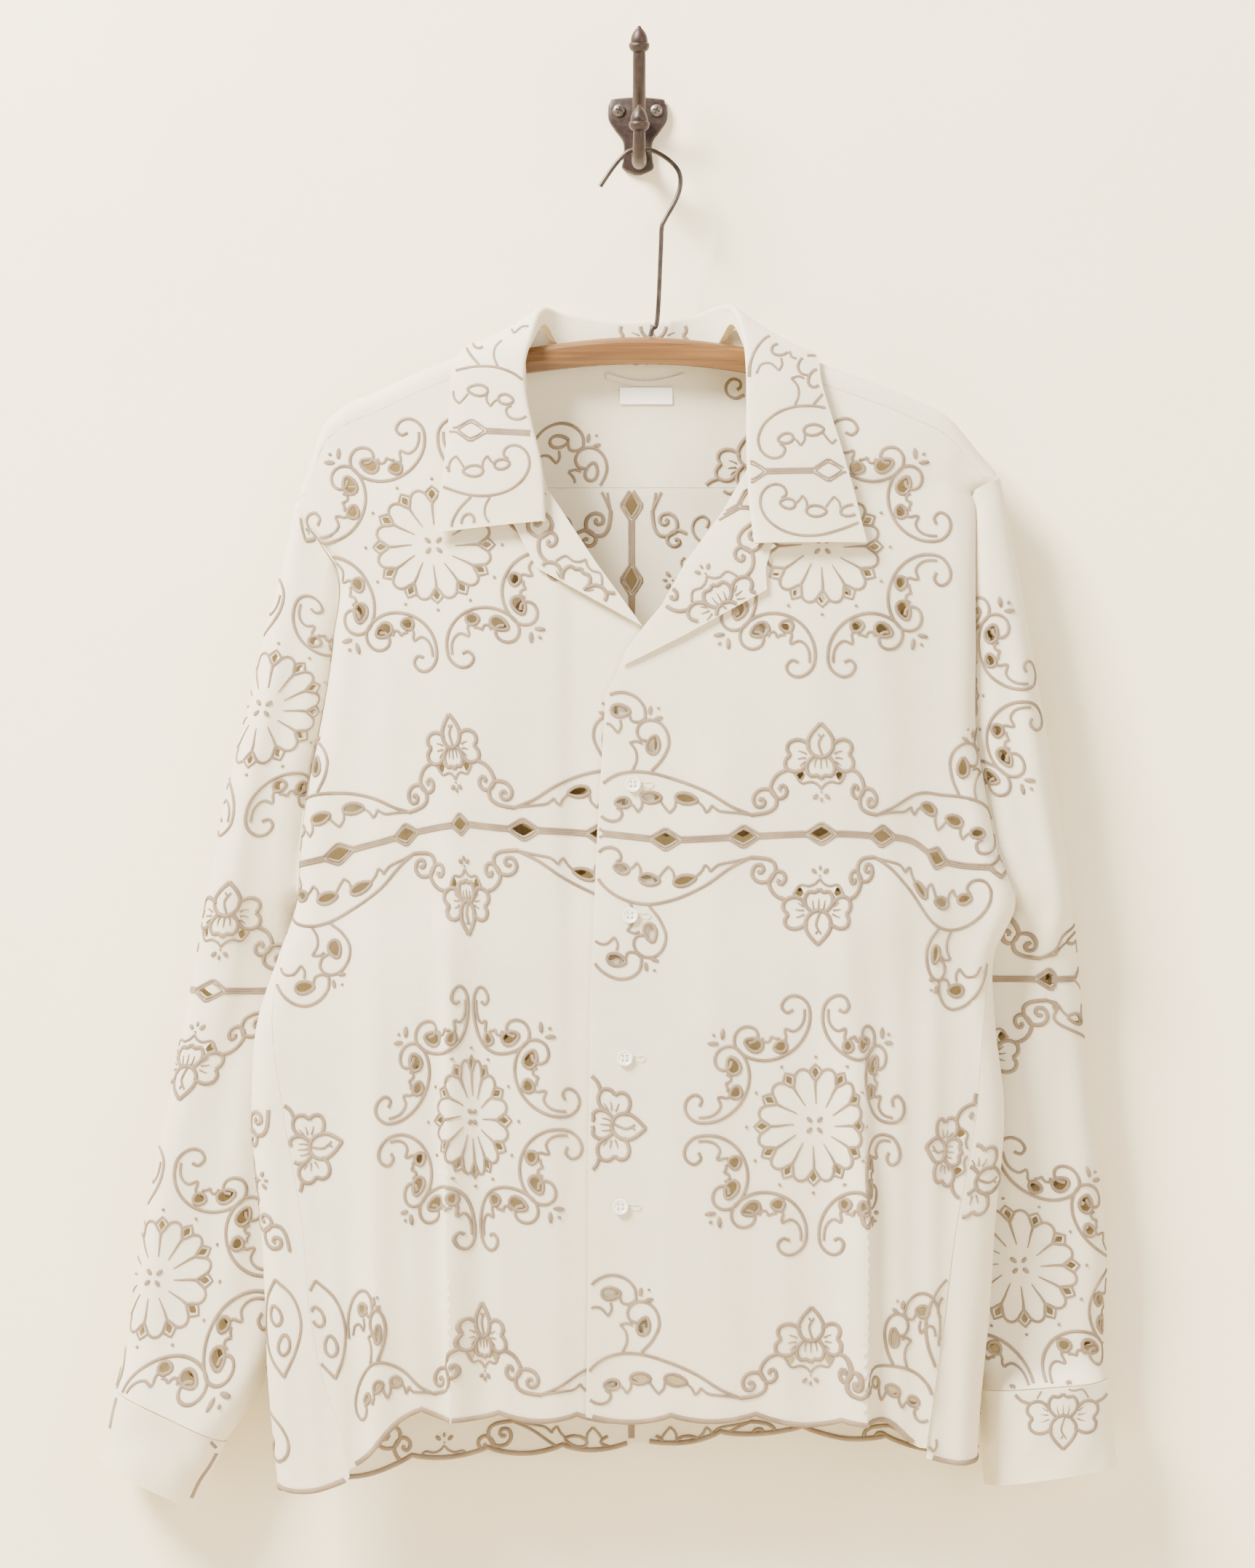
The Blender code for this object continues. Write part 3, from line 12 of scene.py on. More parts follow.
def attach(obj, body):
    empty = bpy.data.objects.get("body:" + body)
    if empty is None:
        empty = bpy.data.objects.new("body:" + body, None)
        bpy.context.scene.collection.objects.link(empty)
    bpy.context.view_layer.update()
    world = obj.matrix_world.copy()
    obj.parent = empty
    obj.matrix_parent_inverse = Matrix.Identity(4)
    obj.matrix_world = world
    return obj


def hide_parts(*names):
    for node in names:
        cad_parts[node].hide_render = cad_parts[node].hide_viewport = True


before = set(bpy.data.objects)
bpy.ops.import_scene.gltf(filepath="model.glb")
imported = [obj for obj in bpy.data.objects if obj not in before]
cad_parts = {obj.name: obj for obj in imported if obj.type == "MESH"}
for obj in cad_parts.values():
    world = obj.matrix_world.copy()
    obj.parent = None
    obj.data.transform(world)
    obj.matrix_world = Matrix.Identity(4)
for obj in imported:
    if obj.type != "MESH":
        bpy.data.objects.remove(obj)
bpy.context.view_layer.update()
print("frame loaded:", len(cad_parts), "nodes")

# Camera and stage

viewSettings = {
    "distance": 2.60,           # from the wall to the camera
    "frameHeight": 1.0133,      # what the photograph shows at the cloth, top to bottom
    "clothDepth": 0.055,        # how far the cloth stands off the wall
    "centre": (-0.0068, -0.4291),
    "sensor": 36.0,
}


def addCamera(settings):
    data = bpy.data.cameras.new("photoCamera")
    away = settings["distance"] - settings["clothDepth"]
    data.sensor_width = settings["sensor"]
    data.lens = settings["sensor"] * away / settings["frameHeight"]
    data.clip_start, data.clip_end = 0.05, 50.0
    camera = bpy.data.objects.new("photoCamera", data)
    bpy.context.scene.collection.objects.link(camera)
    x, z = settings["centre"]
    camera.location = (x, -settings["distance"], z)
    camera.rotation_euler = (math.radians(90.0), 0.0, 0.0)
    bpy.context.scene.camera = camera


addCamera(viewSettings)


# Shape of the hung cloth: the same tables as the solid has, in metres


class Table:
    def __init__(self, columns, *rows):
        self.columns = columns.split()
        self.rows = np.array(sorted(rows))

    def at(self, column, where):
        xs = self.rows[:, 0]
        ys = self.rows[:, self.columns.index(column)]
        slope = np.gradient(ys, xs)
        where = np.clip(where, xs[0], xs[-1])
        i = np.clip(np.searchsorted(xs, where) - 1, 0, len(xs) - 2)
        span = xs[i + 1] - xs[i]
        t = (where - xs[i]) / span
        rise = ys[i + 1] - ys[i]
        a = slope[i] * span - rise
        b = -slope[i + 1] * span + rise
        return ys[i] + rise * t + t * (1 - t) * (a * (1 - t) + b * t)


clothSettings = {
    "wall": 0.0009,
    "seam": 0.0003,
    "hangerY": -0.030,
    "ridgeRadius": 0.0095,
    "drape": 0.20,
    "yokeDrop": 0.014,
    "yokeBackZ": -0.2345,
    "armpitZ": -0.505,
    "armholeTopZ": {1: -0.2372, -1: -0.2480},
    "capZ": -0.3300,
    "shoulderEnd": {1: 0.2240, -1: 0.2150},
    "cadWall": 0.0012,
    "grid": 0.0042,
}

ridge = Table(
    "x z",
    (-0.2228, -0.2468), (-0.2120, -0.2170), (-0.2073, -0.2012), (-0.1936, -0.1847),
    (-0.1697, -0.1734), (-0.1424, -0.1603), (-0.1222, -0.1523), (-0.0900, -0.1400),
    (-0.0600, -0.1310), (0.0, -0.1200), (0.0600, -0.1310), (0.0900, -0.1410),
    (0.1175, -0.1542), (0.1462, -0.1645), (0.1777, -0.1772), (0.2040, -0.1918),
    (0.2209, -0.2120), (0.2355, -0.2289),
)
body = Table(
    "z left right radius sideY belly back leftWrap rightWrap",
    (-0.8950, 0.2310, 0.2180, 0.0140, -0.0520, 0.0050, 0.0270, 0.0564, 0.0440),
    (-0.8432, 0.2364, 0.2200, 0.0140, -0.0530, 0.0060, 0.0280, 0.0520, 0.0423),
    (-0.8075, 0.2392, 0.2230, 0.0140, -0.0540, 0.0070, 0.0290, 0.0440, 0.0400),
    (-0.7713, 0.2402, 0.2265, 0.0140, -0.0550, 0.0080, 0.0300, 0.0380, 0.0380),
    (-0.7172, 0.2430, 0.2300, 0.0140, -0.0550, 0.0090, 0.0300, 0.0360, 0.0343),
    (-0.6364, 0.2492, 0.2360, 0.0140, -0.0550, 0.0100, 0.0300, 0.0287, 0.0260),
    (-0.5809, 0.2452, 0.2302, 0.0140, -0.0540, 0.0110, 0.0290, 0.0180, 0.0160),
    (-0.5400, 0.2320, 0.2300, 0.0140, -0.0520, 0.0120, 0.0270, 0.0080, 0.0080),
    (-0.5050, 0.2201, 0.2440, 0.0140, -0.0490, 0.0120, 0.0240, 0.0000, 0.0000),
    (-0.4738, 0.2183, 0.2330, 0.0140, -0.0470, 0.0120, 0.0220, 0.0000, 0.0000),
    (-0.4338, 0.2136, 0.2250, 0.0140, -0.0460, 0.0120, 0.0210, 0.0000, 0.0000),
    (-0.4000, 0.2070, 0.2195, 0.0140, -0.0450, 0.0120, 0.0210, 0.0000, 0.0000),
    (-0.3374, 0.1972, 0.2190, 0.0130, -0.0440, 0.0110, 0.0200, 0.0000, 0.0000),
    (-0.2858, 0.1957, 0.2190, 0.0125, -0.0420, 0.0100, 0.0180, 0.0000, 0.0000),
    (-0.2472, 0.2228, 0.2188, 0.0115, -0.0400, 0.0100, 0.0170, 0.0000, 0.0000),
    (-0.2365, 0.2228, 0.2178, 0.0110, -0.0400, 0.0100, 0.0170, 0.0000, 0.0000),
    (-0.2289, 0.2228, 0.2355, 0.0110, -0.0400, 0.0100, 0.0170, 0.0000, 0.0000),
    (-0.1100, 0.2228, 0.2355, 0.0110, -0.0400, 0.0100, 0.0170, 0.0000, 0.0000),
)
# Folds: top, foot, how far each stands out, its width, and how far its crest leans over
frontFolds = (
    (-0.1240, -0.3600, -0.1170, -0.7400, 0.0090, 0.0110, -0.0045),
    (-0.1700, -0.5000, -0.1654, -0.8000, 0.0060, 0.0140, -0.0015),
    (-0.2000, -0.6300, -0.1900, -0.8600, 0.0050, 0.0100, 0.0015),
    (0.1430, -0.5400, 0.1415, -0.7400, 0.0080, 0.0100, 0.0045),
    (0.1290, -0.4000, 0.1354, -0.6200, 0.0040, 0.0140, 0.0010),
    (0.1913, -0.4100, 0.1880, -0.6400, 0.0045, 0.0110, 0.0010),
    (0.0560, -0.5600, 0.0600, -0.8300, 0.0030, 0.0240, 0.0),
    (-0.0700, -0.4200, -0.0640, -0.8300, 0.0030, 0.0220, 0.0),
    (-0.1480, -0.4700, -0.1420, -0.7600, 0.0034, 0.0120, 0.0),
    (-0.0950, -0.5300, -0.0860, -0.8100, 0.0026, 0.0110, 0.0),
    (-0.0400, -0.5000, -0.0420, -0.8000, 0.0022, 0.0130, 0.0),
    (0.0220, -0.4800, 0.0200, -0.7600, 0.0022, 0.0160, 0.0),
    (0.0900, -0.4700, 0.0930, -0.8000, 0.0026, 0.0140, 0.0),
    (0.1680, -0.4300, 0.1680, -0.7200, 0.0028, 0.0090, 0.0),
    (0.2080, -0.5000, 0.2080, -0.8000, 0.0034, 0.0100, 0.0),
    (-0.2180, -0.5600, -0.2090, -0.8200, 0.0032, 0.0090, 0.0),
    (0.1400, -0.1900, 0.1560, -0.3600, 0.0022, 0.0160, 0.0),
    (-0.1500, -0.2100, -0.1640, -0.4200, 0.0024, 0.0150, 0.0),
    (0.0600, -0.3300, 0.0500, -0.4600, 0.0020, 0.0180, 0.0),
)
backFolds = (
    (-0.1250, -0.3000, -0.1300, -0.8000, 0.0050, 0.0200, 0.0),
    (-0.0400, -0.3600, -0.0350, -0.8200, 0.0050, 0.0220, 0.0),
    (0.0520, -0.3200, 0.0450, -0.8200, 0.0050, 0.0200, 0.0),
    (0.1300, -0.3400, 0.1350, -0.8000, 0.0050, 0.0200, 0.0),
)
hangerCreases = (
    (-0.1946, -0.1900, -0.3000, 0.0035, 0.0090),
    (0.2016, -0.1950, -0.3000, 0.0035, 0.0080),
)
rightSleeve = Table(
    "w outerX outerZ innerX innerZ radius y",
    (-0.8229, 0.3404, -0.8229, 0.2687, -0.8569, 0.0230, -0.0288),
    (-0.8060, 0.3358, -0.8060, 0.2520, -0.8330, 0.0200, -0.0250),
    (-0.7426, 0.3271, -0.7426, 0.2260, -0.7460, 0.0165, -0.0200),
    (-0.6914, 0.3173, -0.6914, 0.2270, -0.6914, 0.0160, -0.0212),
    (-0.6265, 0.3050, -0.6265, 0.2300, -0.6265, 0.0155, -0.0208),
    (-0.5809, 0.2956, -0.5809, 0.2270, -0.5809, 0.0150, -0.0208),
    (-0.5508, 0.2895, -0.5508, 0.2200, -0.5508, 0.0150, -0.0215),
    (-0.5050, 0.2812, -0.5050, 0.2204, -0.5050, 0.0160, -0.0280),
    (-0.4724, 0.2750, -0.4724, 0.2186, -0.4724, 0.0160, -0.0310),
    (-0.4338, 0.2672, -0.4338, 0.2139, -0.4338, 0.0160, -0.0330),
    (-0.3821, 0.2543, -0.3821, 0.2040, -0.3850, 0.0155, -0.0335),
    (-0.3350, 0.2435, -0.3350, 0.1975, -0.3450, 0.0145, -0.0330),
    (-0.2950, 0.2330, -0.2950, 0.1962, -0.3150, 0.0130, -0.0325),
    (-0.2486, 0.2232, -0.2486, 0.1963, -0.2876, 0.0100, -0.0310),
)
leftSleeve = Table(
    "w outerX outerZ innerX innerZ radius y",
    (-0.8166, 0.3046, -0.8166, 0.2232, -0.8226, 0.0235, -0.0290),
    (-0.8080, 0.3038, -0.8080, 0.2205, -0.8130, 0.0190, -0.0230),
    (-0.7891, 0.3036, -0.7891, 0.2130, -0.7920, 0.0170, -0.0205),
    (-0.7426, 0.3060, -0.7426, 0.2100, -0.7426, 0.0160, -0.0195),
    (-0.6904, 0.3027, -0.6904, 0.2100, -0.6904, 0.0160, -0.0212),
    (-0.6453, 0.2975, -0.6453, 0.2130, -0.6453, 0.0155, -0.0208),
    (-0.5805, 0.2900, -0.5805, 0.2130, -0.5805, 0.0150, -0.0208),
    (-0.5400, 0.2865, -0.5400, 0.2160, -0.5400, 0.0150, -0.0225),
    (-0.5050, 0.2822, -0.5050, 0.2440, -0.5050, 0.0150, -0.0300),
    (-0.4738, 0.2780, -0.4738, 0.2333, -0.4738, 0.0155, -0.0320),
    (-0.4178, 0.2693, -0.4178, 0.2222, -0.4178, 0.0155, -0.0330),
    (-0.3591, 0.2594, -0.3591, 0.2193, -0.3591, 0.0145, -0.0330),
    (-0.3008, 0.2491, -0.3008, 0.2193, -0.3008, 0.0125, -0.0325),
    (-0.2600, 0.2416, -0.2600, 0.2190, -0.2640, 0.0100, -0.0318),
    (-0.2292, 0.2358, -0.2292, 0.2181, -0.2368, 0.0075, -0.0310),
)
sleeveFolds = (
    (0.0120, -0.3000, -0.6500, 0.0030, 0.0090),
    (-0.0120, -0.5600, -0.8000, 0.0030, 0.0100),
)
frontHem = Table(
    "x z",
    (-0.2300, -0.8760), (-0.1850, -0.8670), (-0.1700, -0.8540), (-0.1560, -0.8370),
    (-0.1180, -0.8330), (-0.0600, -0.8340), (0.0, -0.8350), (0.0700, -0.8340),
    (0.1420, -0.8370), (0.1600, -0.8340), (0.1780, -0.8520), (0.2100, -0.8600),
)
backHem = Table(
    "x z",
    (-0.3200, -0.8700), (-0.2450, -0.8830), (-0.2000, -0.8810), (-0.1400, -0.8690),
    (-0.0600, -0.8650), (0.0300, -0.8580), (0.0900, -0.8520), (0.1500, -0.8550),
    (0.2300, -0.8620), (0.3000, -0.8600),
)
placket = Table(
    "z x",
    (-0.9000, -0.0336), (-0.8328, -0.0334), (-0.7826, -0.0324), (-0.6359, -0.0315),
    (-0.5541, -0.0301), (-0.5076, -0.0282), (-0.4615, -0.0263), (-0.4150, -0.0235),
    (-0.3704, -0.0207),
)
leftRoll = (
    (0.0735, -0.1500), (0.0722, -0.1900), (0.0714, -0.2237), (0.0541, -0.2538),
    (0.0301, -0.2867), (0.0150, -0.3140), (0.0033, -0.3281), (-0.0085, -0.3440),
    (-0.0130, -0.3560), (-0.0193, -0.3680),
)
rightRoll = (
    (-0.0735, -0.1500), (-0.0705, -0.1850), (-0.0630, -0.2209), (-0.0583, -0.2388),
    (-0.0268, -0.2867), (0.0033, -0.3281), (0.0105, -0.3420),
)
leftLapelEdge = ((0.0827, -0.3041), (0.0301, -0.3332), (0.0010, -0.3478), (-0.0098, -0.3530))
rightLapelEdge = ((-0.0020, -0.3250), (-0.0653, -0.2900))


def ease(t):
    t = np.clip(t, 0.0, 1.0)
    return t * t * (3.0 - 2.0 * t)


def foldShape(x, z, folds):
    out, lean = np.zeros_like(x), np.zeros_like(x)
    for xTop, zTop, xFoot, zFoot, depth, width, over in folds:
        down = (zTop - z) / (zTop - zFoot)
        across = (x - xTop - (xFoot - xTop) * np.clip(down, 0.0, 1.3)) / width
        steep = np.where(across * over > 0, 1.0 + 130.0 * abs(over), 1.0)
        crest = np.exp(-np.abs(across * steep) ** 1.7) * ease(down)
        out += depth * crest
        lean += over * crest ** 2
    return out, lean


def crumple(x, z):
    # Low uneven creases of linen that has hung for a while, at most about a millimetre
    waves = (
        (31.0, 6.0, 0.4, 0.00042), (17.0, -9.0, 1.9, 0.00050), (53.0, 21.0, 2.7, 0.00018),
        (-24.0, 37.0, 0.9, 0.00016), (71.0, -33.0, 4.1, 0.00011), (9.0, 58.0, 3.3, 0.00012),
    )
    rise = np.zeros_like(x)
    for fx, fz, start, size in waves:
        bend = 0.6 * np.sin(fz * 0.7 * x + 2.1 * start) + 0.5 * np.sin(fx * 0.4 * z + start)
        rise += size * np.sin(fx * x + fz * z + start + bend)
    return rise


def torso(across, z, side):
    across = np.asarray(across, float)
    z = np.asarray(z, float) + 0.0 * across
    reach = np.where(across < 0, body.at("left", z), body.at("right", z))
    radius = body.at("radius", z)
    straight = reach - radius
    far = np.abs(across)
    turn = np.clip((far - straight) / radius, 0.0, math.pi)
    beyond = np.clip(far - straight - math.pi * radius, 0.0, None)
    x = np.sign(across) * (np.minimum(far, straight) + radius * np.sin(turn) - beyond)
    middle = ease((straight - far) / 0.10)
    onFront = side * np.cos(turn) < 0
    belly = np.where(side < 0, body.at("belly", z), body.at("back", z))
    folds, lean = foldShape(x, z, frontFolds)
    backOut = foldShape(x, z, backFolds)[0]
    for creaseX, zTop, zFoot, depth, width in hangerCreases:
        rise = ease((zTop - z) / 0.03) * ease((z - zFoot) / (zTop - zFoot))
        folds = folds + depth * np.exp(-(((x - creaseX) / width) ** 2)) * rise
    out = radius * np.abs(np.cos(turn)) + belly * middle * (turn == 0)
    out = out + np.where(onFront, folds * np.abs(np.cos(turn)), -backOut * (turn == 0))
    way = np.where(onFront, -1.0, 1.0)
    fullY = body.at("sideY", z) + way * out
    below = np.clip(ridge.at("z", x) - z, 0.0, None)
    roundOver = clothSettings["ridgeRadius"]
    over = roundOver * np.sqrt(1.0 - (1.0 - np.clip(below / roundOver, 0.0, 1.0)) ** 2)
    spread = 1.0 - (1.0 - np.clip(below / clothSettings["drape"], 0.0, 1.0)) ** 2.4
    hangY = clothSettings["hangerY"]
    y = hangY + way * over + (fullY - hangY - way * roundOver) * spread
    y = y + way * crumple(x, z) * ease(below / 0.08) * (turn == 0)
    return np.stack([x + np.where(onFront, lean, 0.0), y, z], axis=-1)


def seamAcross(z, sign, side):
    name = "left" if sign < 0 else "right"
    radius = body.at("radius", z)
    quarter = body.at(name, z) - radius + radius * math.pi / 2
    return sign * (quarter + side * body.at(name + "Wrap", z) - clothSettings["seam"] / 2)


def dropOf(t):
    roundOver = clothSettings["ridgeRadius"]
    quarter = roundOver * math.pi / 2
    t = np.abs(t)
    return roundOver * (1.0 - np.cos(np.minimum(t, quarter) / roundOver)) + np.maximum(t - quarter, 0.0)


def alongOf(drop):
    return drop - clothSettings["ridgeRadius"] * (1.0 - math.pi / 2)


def frontSurface(points):
    return torso(points[:, 0], points[:, 1], -1)


def underFrontSurface(points):
    placed = torso(points[:, 0], points[:, 1], -1)
    placed[:, 1] += 0.0026 * ease((points[:, 0] + 0.055) / 0.015)
    return placed


def backSurface(points):
    return torso(points[:, 0], points[:, 1], 1)


def yokeSurface(points):
    x, t = points[:, 0], points[:, 1]
    z = ridge.at("z", x) - dropOf(t)
    return np.where((t < 0)[:, None], torso(x, z, -1), torso(x, z, 1))


def sleeveSurface(table, sign, half):
    def lay(points):
        across, w = points[:, 0], points[:, 1]
        ends = [table.at(name, w) for name in ("outerX", "outerZ", "innerX", "innerZ")]
        middleX, middleZ = (ends[0] + ends[2]) / 2, (ends[1] + ends[3]) / 2
        halfX, halfZ = (ends[0] - ends[2]) / 2, (ends[1] - ends[3]) / 2
        reach = np.hypot(halfX, halfZ)
        radius = np.minimum(table.at("radius", w), reach)
        straight = reach - radius
        far = np.abs(across)
        turn = np.clip((far - straight) / radius, 0.0, math.pi / 2)
        part = np.sign(across) * (np.minimum(far, straight) + radius * np.sin(turn)) / reach
        folds = np.zeros_like(across)
        for place, zTop, zFoot, depth, width in sleeveFolds:
            run = ease((zTop - w) / 0.08) * ease((w - zFoot) / 0.08)
            folds += depth * np.exp(-(((across - place) / width) ** 2)) * run
        folds += 1.3 * crumple(across * 1.4 + sign * 0.3, w)
        y = table.at("y", w) + half * (radius + folds) * np.cos(turn)
        placed = np.stack([sign * (middleX + halfX * part), y, middleZ + halfZ * part], axis=-1)
        edgeZ = np.maximum(ends[3], clothSettings["armpitZ"])
        armhole = torso(seamAcross(edgeZ, sign, half), edgeZ, half)
        armhole[:, 0] += sign * (clothSettings["seam"] + clothSettings["wall"])
        armhole[:, 2] -= clothSettings["cadWall"] * 2.3 * ease((edgeZ - clothSettings["capZ"]) / 0.03)
        edge = np.stack([sign * ends[2], table.at("y", w), ends[3]], axis=-1)
        pull = np.exp(-np.clip(across + straight + radius * math.pi / 2, 0.0, None) / 0.010)
        pull *= ease((w - clothSettings["armpitZ"] + 0.01) / 0.02)
        return placed + (armhole - edge) * pull[:, None]

    return lay


def sleeveReach(table, w):
    halfX = (table.at("outerX", w) - table.at("innerX", w)) / 2
    halfZ = (table.at("outerZ", w) - table.at("innerZ", w)) / 2
    reach = np.hypot(halfX, halfZ)
    radius = np.minimum(table.at("radius", w), reach)
    return reach - radius + radius * math.pi / 2 - clothSettings["seam"] / 2 - 0.0001


# Materials


class Socket:
    def __init__(self, tree, output=None):
        self.tree, self.output = tree, output

    def node(self, kind, settings=(), inputs=(), out=0):
        made = self.tree.nodes.new("ShaderNode" + kind)
        for name, value in dict(settings).items():
            setattr(made, name, value)
        for name, value in dict(inputs).items():
            if isinstance(value, Socket):
                self.tree.links.new(value.output, made.inputs[name])
            else:
                made.inputs[name].default_value = value
        return Socket(self.tree, made.outputs[out])

    def math(self, operation, first, second=0.0):
        return self.node("Math", {"operation": operation}, {0: first, 1: second})

    def __add__(self, other):
        return self.math("ADD", self, other)

    def __radd__(self, other):
        return self.math("ADD", other, self)

    def __mul__(self, other):
        return self.math("MULTIPLY", self, other)

    def between(self, low, high):
        return self.node("MapRange", {"clamp": True}, {"Value": self, "From Min": low, "From Max": high})

    def mix(self, first, second):
        first, second = [c if isinstance(c, Socket) else (*c, 1.0) for c in (first, second)]
        return self.node("Mix", {"data_type": "RGBA"}, {0: self, 6: first, 7: second}, 2)

    def place(self, scale, uv=None):
        source = self.node("UVMap", {"uv_map": uv}) if uv else self.node("TexCoord", out=3)
        return self.node("Mapping", inputs={"Vector": source, "Scale": scale})

    def noise(self, where, scale, detail=3.0, rough=0.5):
        settings = {"Vector": where, "Scale": scale, "Detail": detail, "Roughness": rough}
        return self.node("TexNoise", inputs=settings)

    def bump(self, strength, depth):
        return self.node("Bump", inputs={"Height": self, "Strength": strength, "Distance": depth})


def addMaterial(name, colour, roughness, metallic=0.0, coat=0.0):
    made = bpy.data.materials.new(name)
    made.use_nodes = True
    shader = made.node_tree.nodes["Principled BSDF"]
    shader.inputs["Base Color"].default_value = (*colour, 1.0)
    shader.inputs["Roughness"].default_value = roughness
    shader.inputs["Metallic"].default_value = metallic
    shader.inputs["Coat Weight"].default_value = coat
    return made, Socket(made.node_tree), shader


def connect(shader, **inputs):
    for name, value in inputs.items():
        value.tree.links.new(value.output, shader.inputs[name.replace("_", " ")])


def thinCloth(made, start, shader, colour, share):
    # Some of the light goes through, so the inside isn't black behind the cutwork
    seen = Socket(made.node_tree, shader.outputs[0])
    through = start.node("BsdfTranslucent", inputs={"Color": (*colour, 1.0)})
    both = start.node("MixShader", inputs={0: share, 1: seen, 2: through})
    made.node_tree.links.new(both.output, made.node_tree.nodes["Material Output"].inputs["Surface"])


def linenMaterial():
    made, start, shader = addMaterial("linen", (0.86, 0.82, 0.73), 0.92)
    warp = start.noise(start.place((2600.0, 90.0, 1.0), "flat"), 1.0, 2.0)
    weft = start.noise(start.place((90.0, 2600.0, 1.0), "flat"), 1.0, 2.0)
    threads = warp + weft
    broad = start.noise(start.place((1.0, 1.0, 1.0), "flat"), 14.0, 4.0, 0.6)
    tone = (threads * 0.30 + broad * 0.55).between(0.35, 0.85)
    connect(shader, Base_Color=tone.mix((0.80, 0.745, 0.590), (0.925, 0.885, 0.75)),
            Normal=(threads + broad * 0.8).bump(0.35, 0.0006))
    shader.inputs["Sheen Weight"].default_value = 0.15
    thinCloth(made, start, shader, (0.97, 0.86, 0.66), 0.30)
    return made


def cordMaterial():
    made, start, shader = addMaterial("embroideryCord", (0.42, 0.33, 0.25), 0.80)
    fine = start.noise(start.place((900.0, 240.0, 1.0), "flat"), 1.0, 2.0)
    broad = start.noise(start.node("TexCoord", out=3), 60.0, 3.0)
    tone = (fine * 0.65 + broad * 0.45).between(0.36, 0.74)
    connect(shader, Base_Color=tone.mix((0.150, 0.100, 0.062), (0.36, 0.275, 0.185)),
            Normal=fine.bump(0.6, 0.0005))
    return made


def woodMaterial():
    made, start, shader = addMaterial("hangerWood", (0.46, 0.23, 0.09), 0.42, coat=0.15)
    grain = start.noise(start.place((5.0, 90.0, 170.0)), 1.0, 5.0, 0.6)
    lines = start.noise(start.place((12.0, 500.0, 700.0)), 1.0, 2.0)
    tone = (grain * 0.75 + lines * 0.30).between(0.38, 0.72)
    connect(shader, Base_Color=tone.mix((0.085, 0.033, 0.007), (0.215, 0.100, 0.022)),
            Roughness=0.36 + grain * 0.2, Normal=(grain + lines).bump(0.15, 0.0004))
    return made


def metalMaterial(name, dark, light, roughness, metallic, scale, depth):
    made, start, shader = addMaterial(name, light, roughness, metallic)
    cast = start.noise(start.node("TexCoord", out=3), scale, 5.0, 0.6)
    connect(shader, Base_Color=cast.between(0.35, 0.70).mix(dark, light),
            Roughness=(roughness - 0.12) + cast * 0.24, Normal=cast.bump(0.4, depth))
    return made


def pearlMaterial():
    made, start, shader = addMaterial("pearlButton", (0.84, 0.81, 0.74), 0.22, coat=0.5)
    cloud = start.noise(start.node("TexCoord", out=3), 420.0, 3.0)
    connect(shader, Base_Color=cloud.between(0.35, 0.65).mix((0.80, 0.76, 0.68), (0.90, 0.89, 0.85)))
    return made


def wallMaterial():
    made, start, shader = addMaterial("paintedWall", (0.90, 0.84, 0.72), 0.95)
    paint = start.noise(start.node("TexCoord", out=3), 7.0, 6.0, 0.6)
    connect(shader, Base_Color=paint.between(0.3, 0.7).mix((0.905, 0.815, 0.62), (0.935, 0.85, 0.66)),
            Normal=start.noise(start.node("TexCoord", out=3), 260.0, 3.0).bump(0.08, 0.0006))
    output = made.node_tree.nodes["Material Output"]
    seen = Socket(made.node_tree, shader.outputs[0])
    behind = start.node("NewGeometry", out=6)
    clear = start.node("BsdfTransparent")
    both = start.node("MixShader", inputs={0: behind, 1: seen, 2: clear})
    made.node_tree.links.new(both.output, output.inputs["Surface"])
    return made


linenFinish = linenMaterial()
cordFinish = cordMaterial()
tapeFinish = addMaterial("labelTape", (0.93, 0.93, 0.91), 0.75)[0]
pearlFinish = pearlMaterial()
woodFinish = woodMaterial()
# Metals: dark and light tone, roughness, metallic share, fineness of the grain, depth of its bump
wireFinish = metalMaterial("hookWire", (0.035, 0.026, 0.022), (0.085, 0.068, 0.058),
                           0.34, 0.7, 90.0, 0.0002)
ironFinish = metalMaterial("castIron", (0.013, 0.006, 0.005), (0.034, 0.014, 0.011),
                           0.46, 0.20, 240.0, 0.0005)
screwFinish = metalMaterial("screwSteel", (0.10, 0.085, 0.075), (0.22, 0.19, 0.17),
                            0.40, 0.9, 300.0, 0.0002)


# The embroidery, drawn flat in metres: cords, cut holes and padded seeds

stitchSettings = {
    "cord": 0.0026,         # width of the corded outlines
    "fine": 0.0022,
    "full": 1.12,           # every cord drawn this much wider than its own size
    "lift": 0.00090,        # how far a cord stands off the cloth
    "padding": 1.2,         # a padded seed's height against a cord's
    "cordMargin": 0.0011,   # cords and seeds nearer than this to an edge are left out
    "seedMargin": 0.0030,
    "step": 0.0018,         # from one point of a cord to the next
    "bandHeight": -0.4597,
    "hemHeight": -0.8343,
    "pitch": 0.050,         # from one lozenge of the band to the next
}


def curve(points, step=None, closed=False):
    # A smooth line through points, with a point about every step
    points = np.asarray(points, float)
    step = step or stitchSettings["step"]
    if closed:
        points = np.concatenate([points[-3:], points, points[:4]])
    run = np.concatenate([[0.0], np.cumsum(np.hypot(*np.diff(points, axis=0).T))])
    lines = [Table("t v", *zip(run, points[:, k])) for k in (0, 1)]
    first, last = (run[3], run[-4]) if closed else (0.0, run[-1])
    where = np.linspace(first, last, max(3, int(round((last - first) / step)) + 1))
    return np.stack([line.at("v", where) for line in lines], axis=-1)


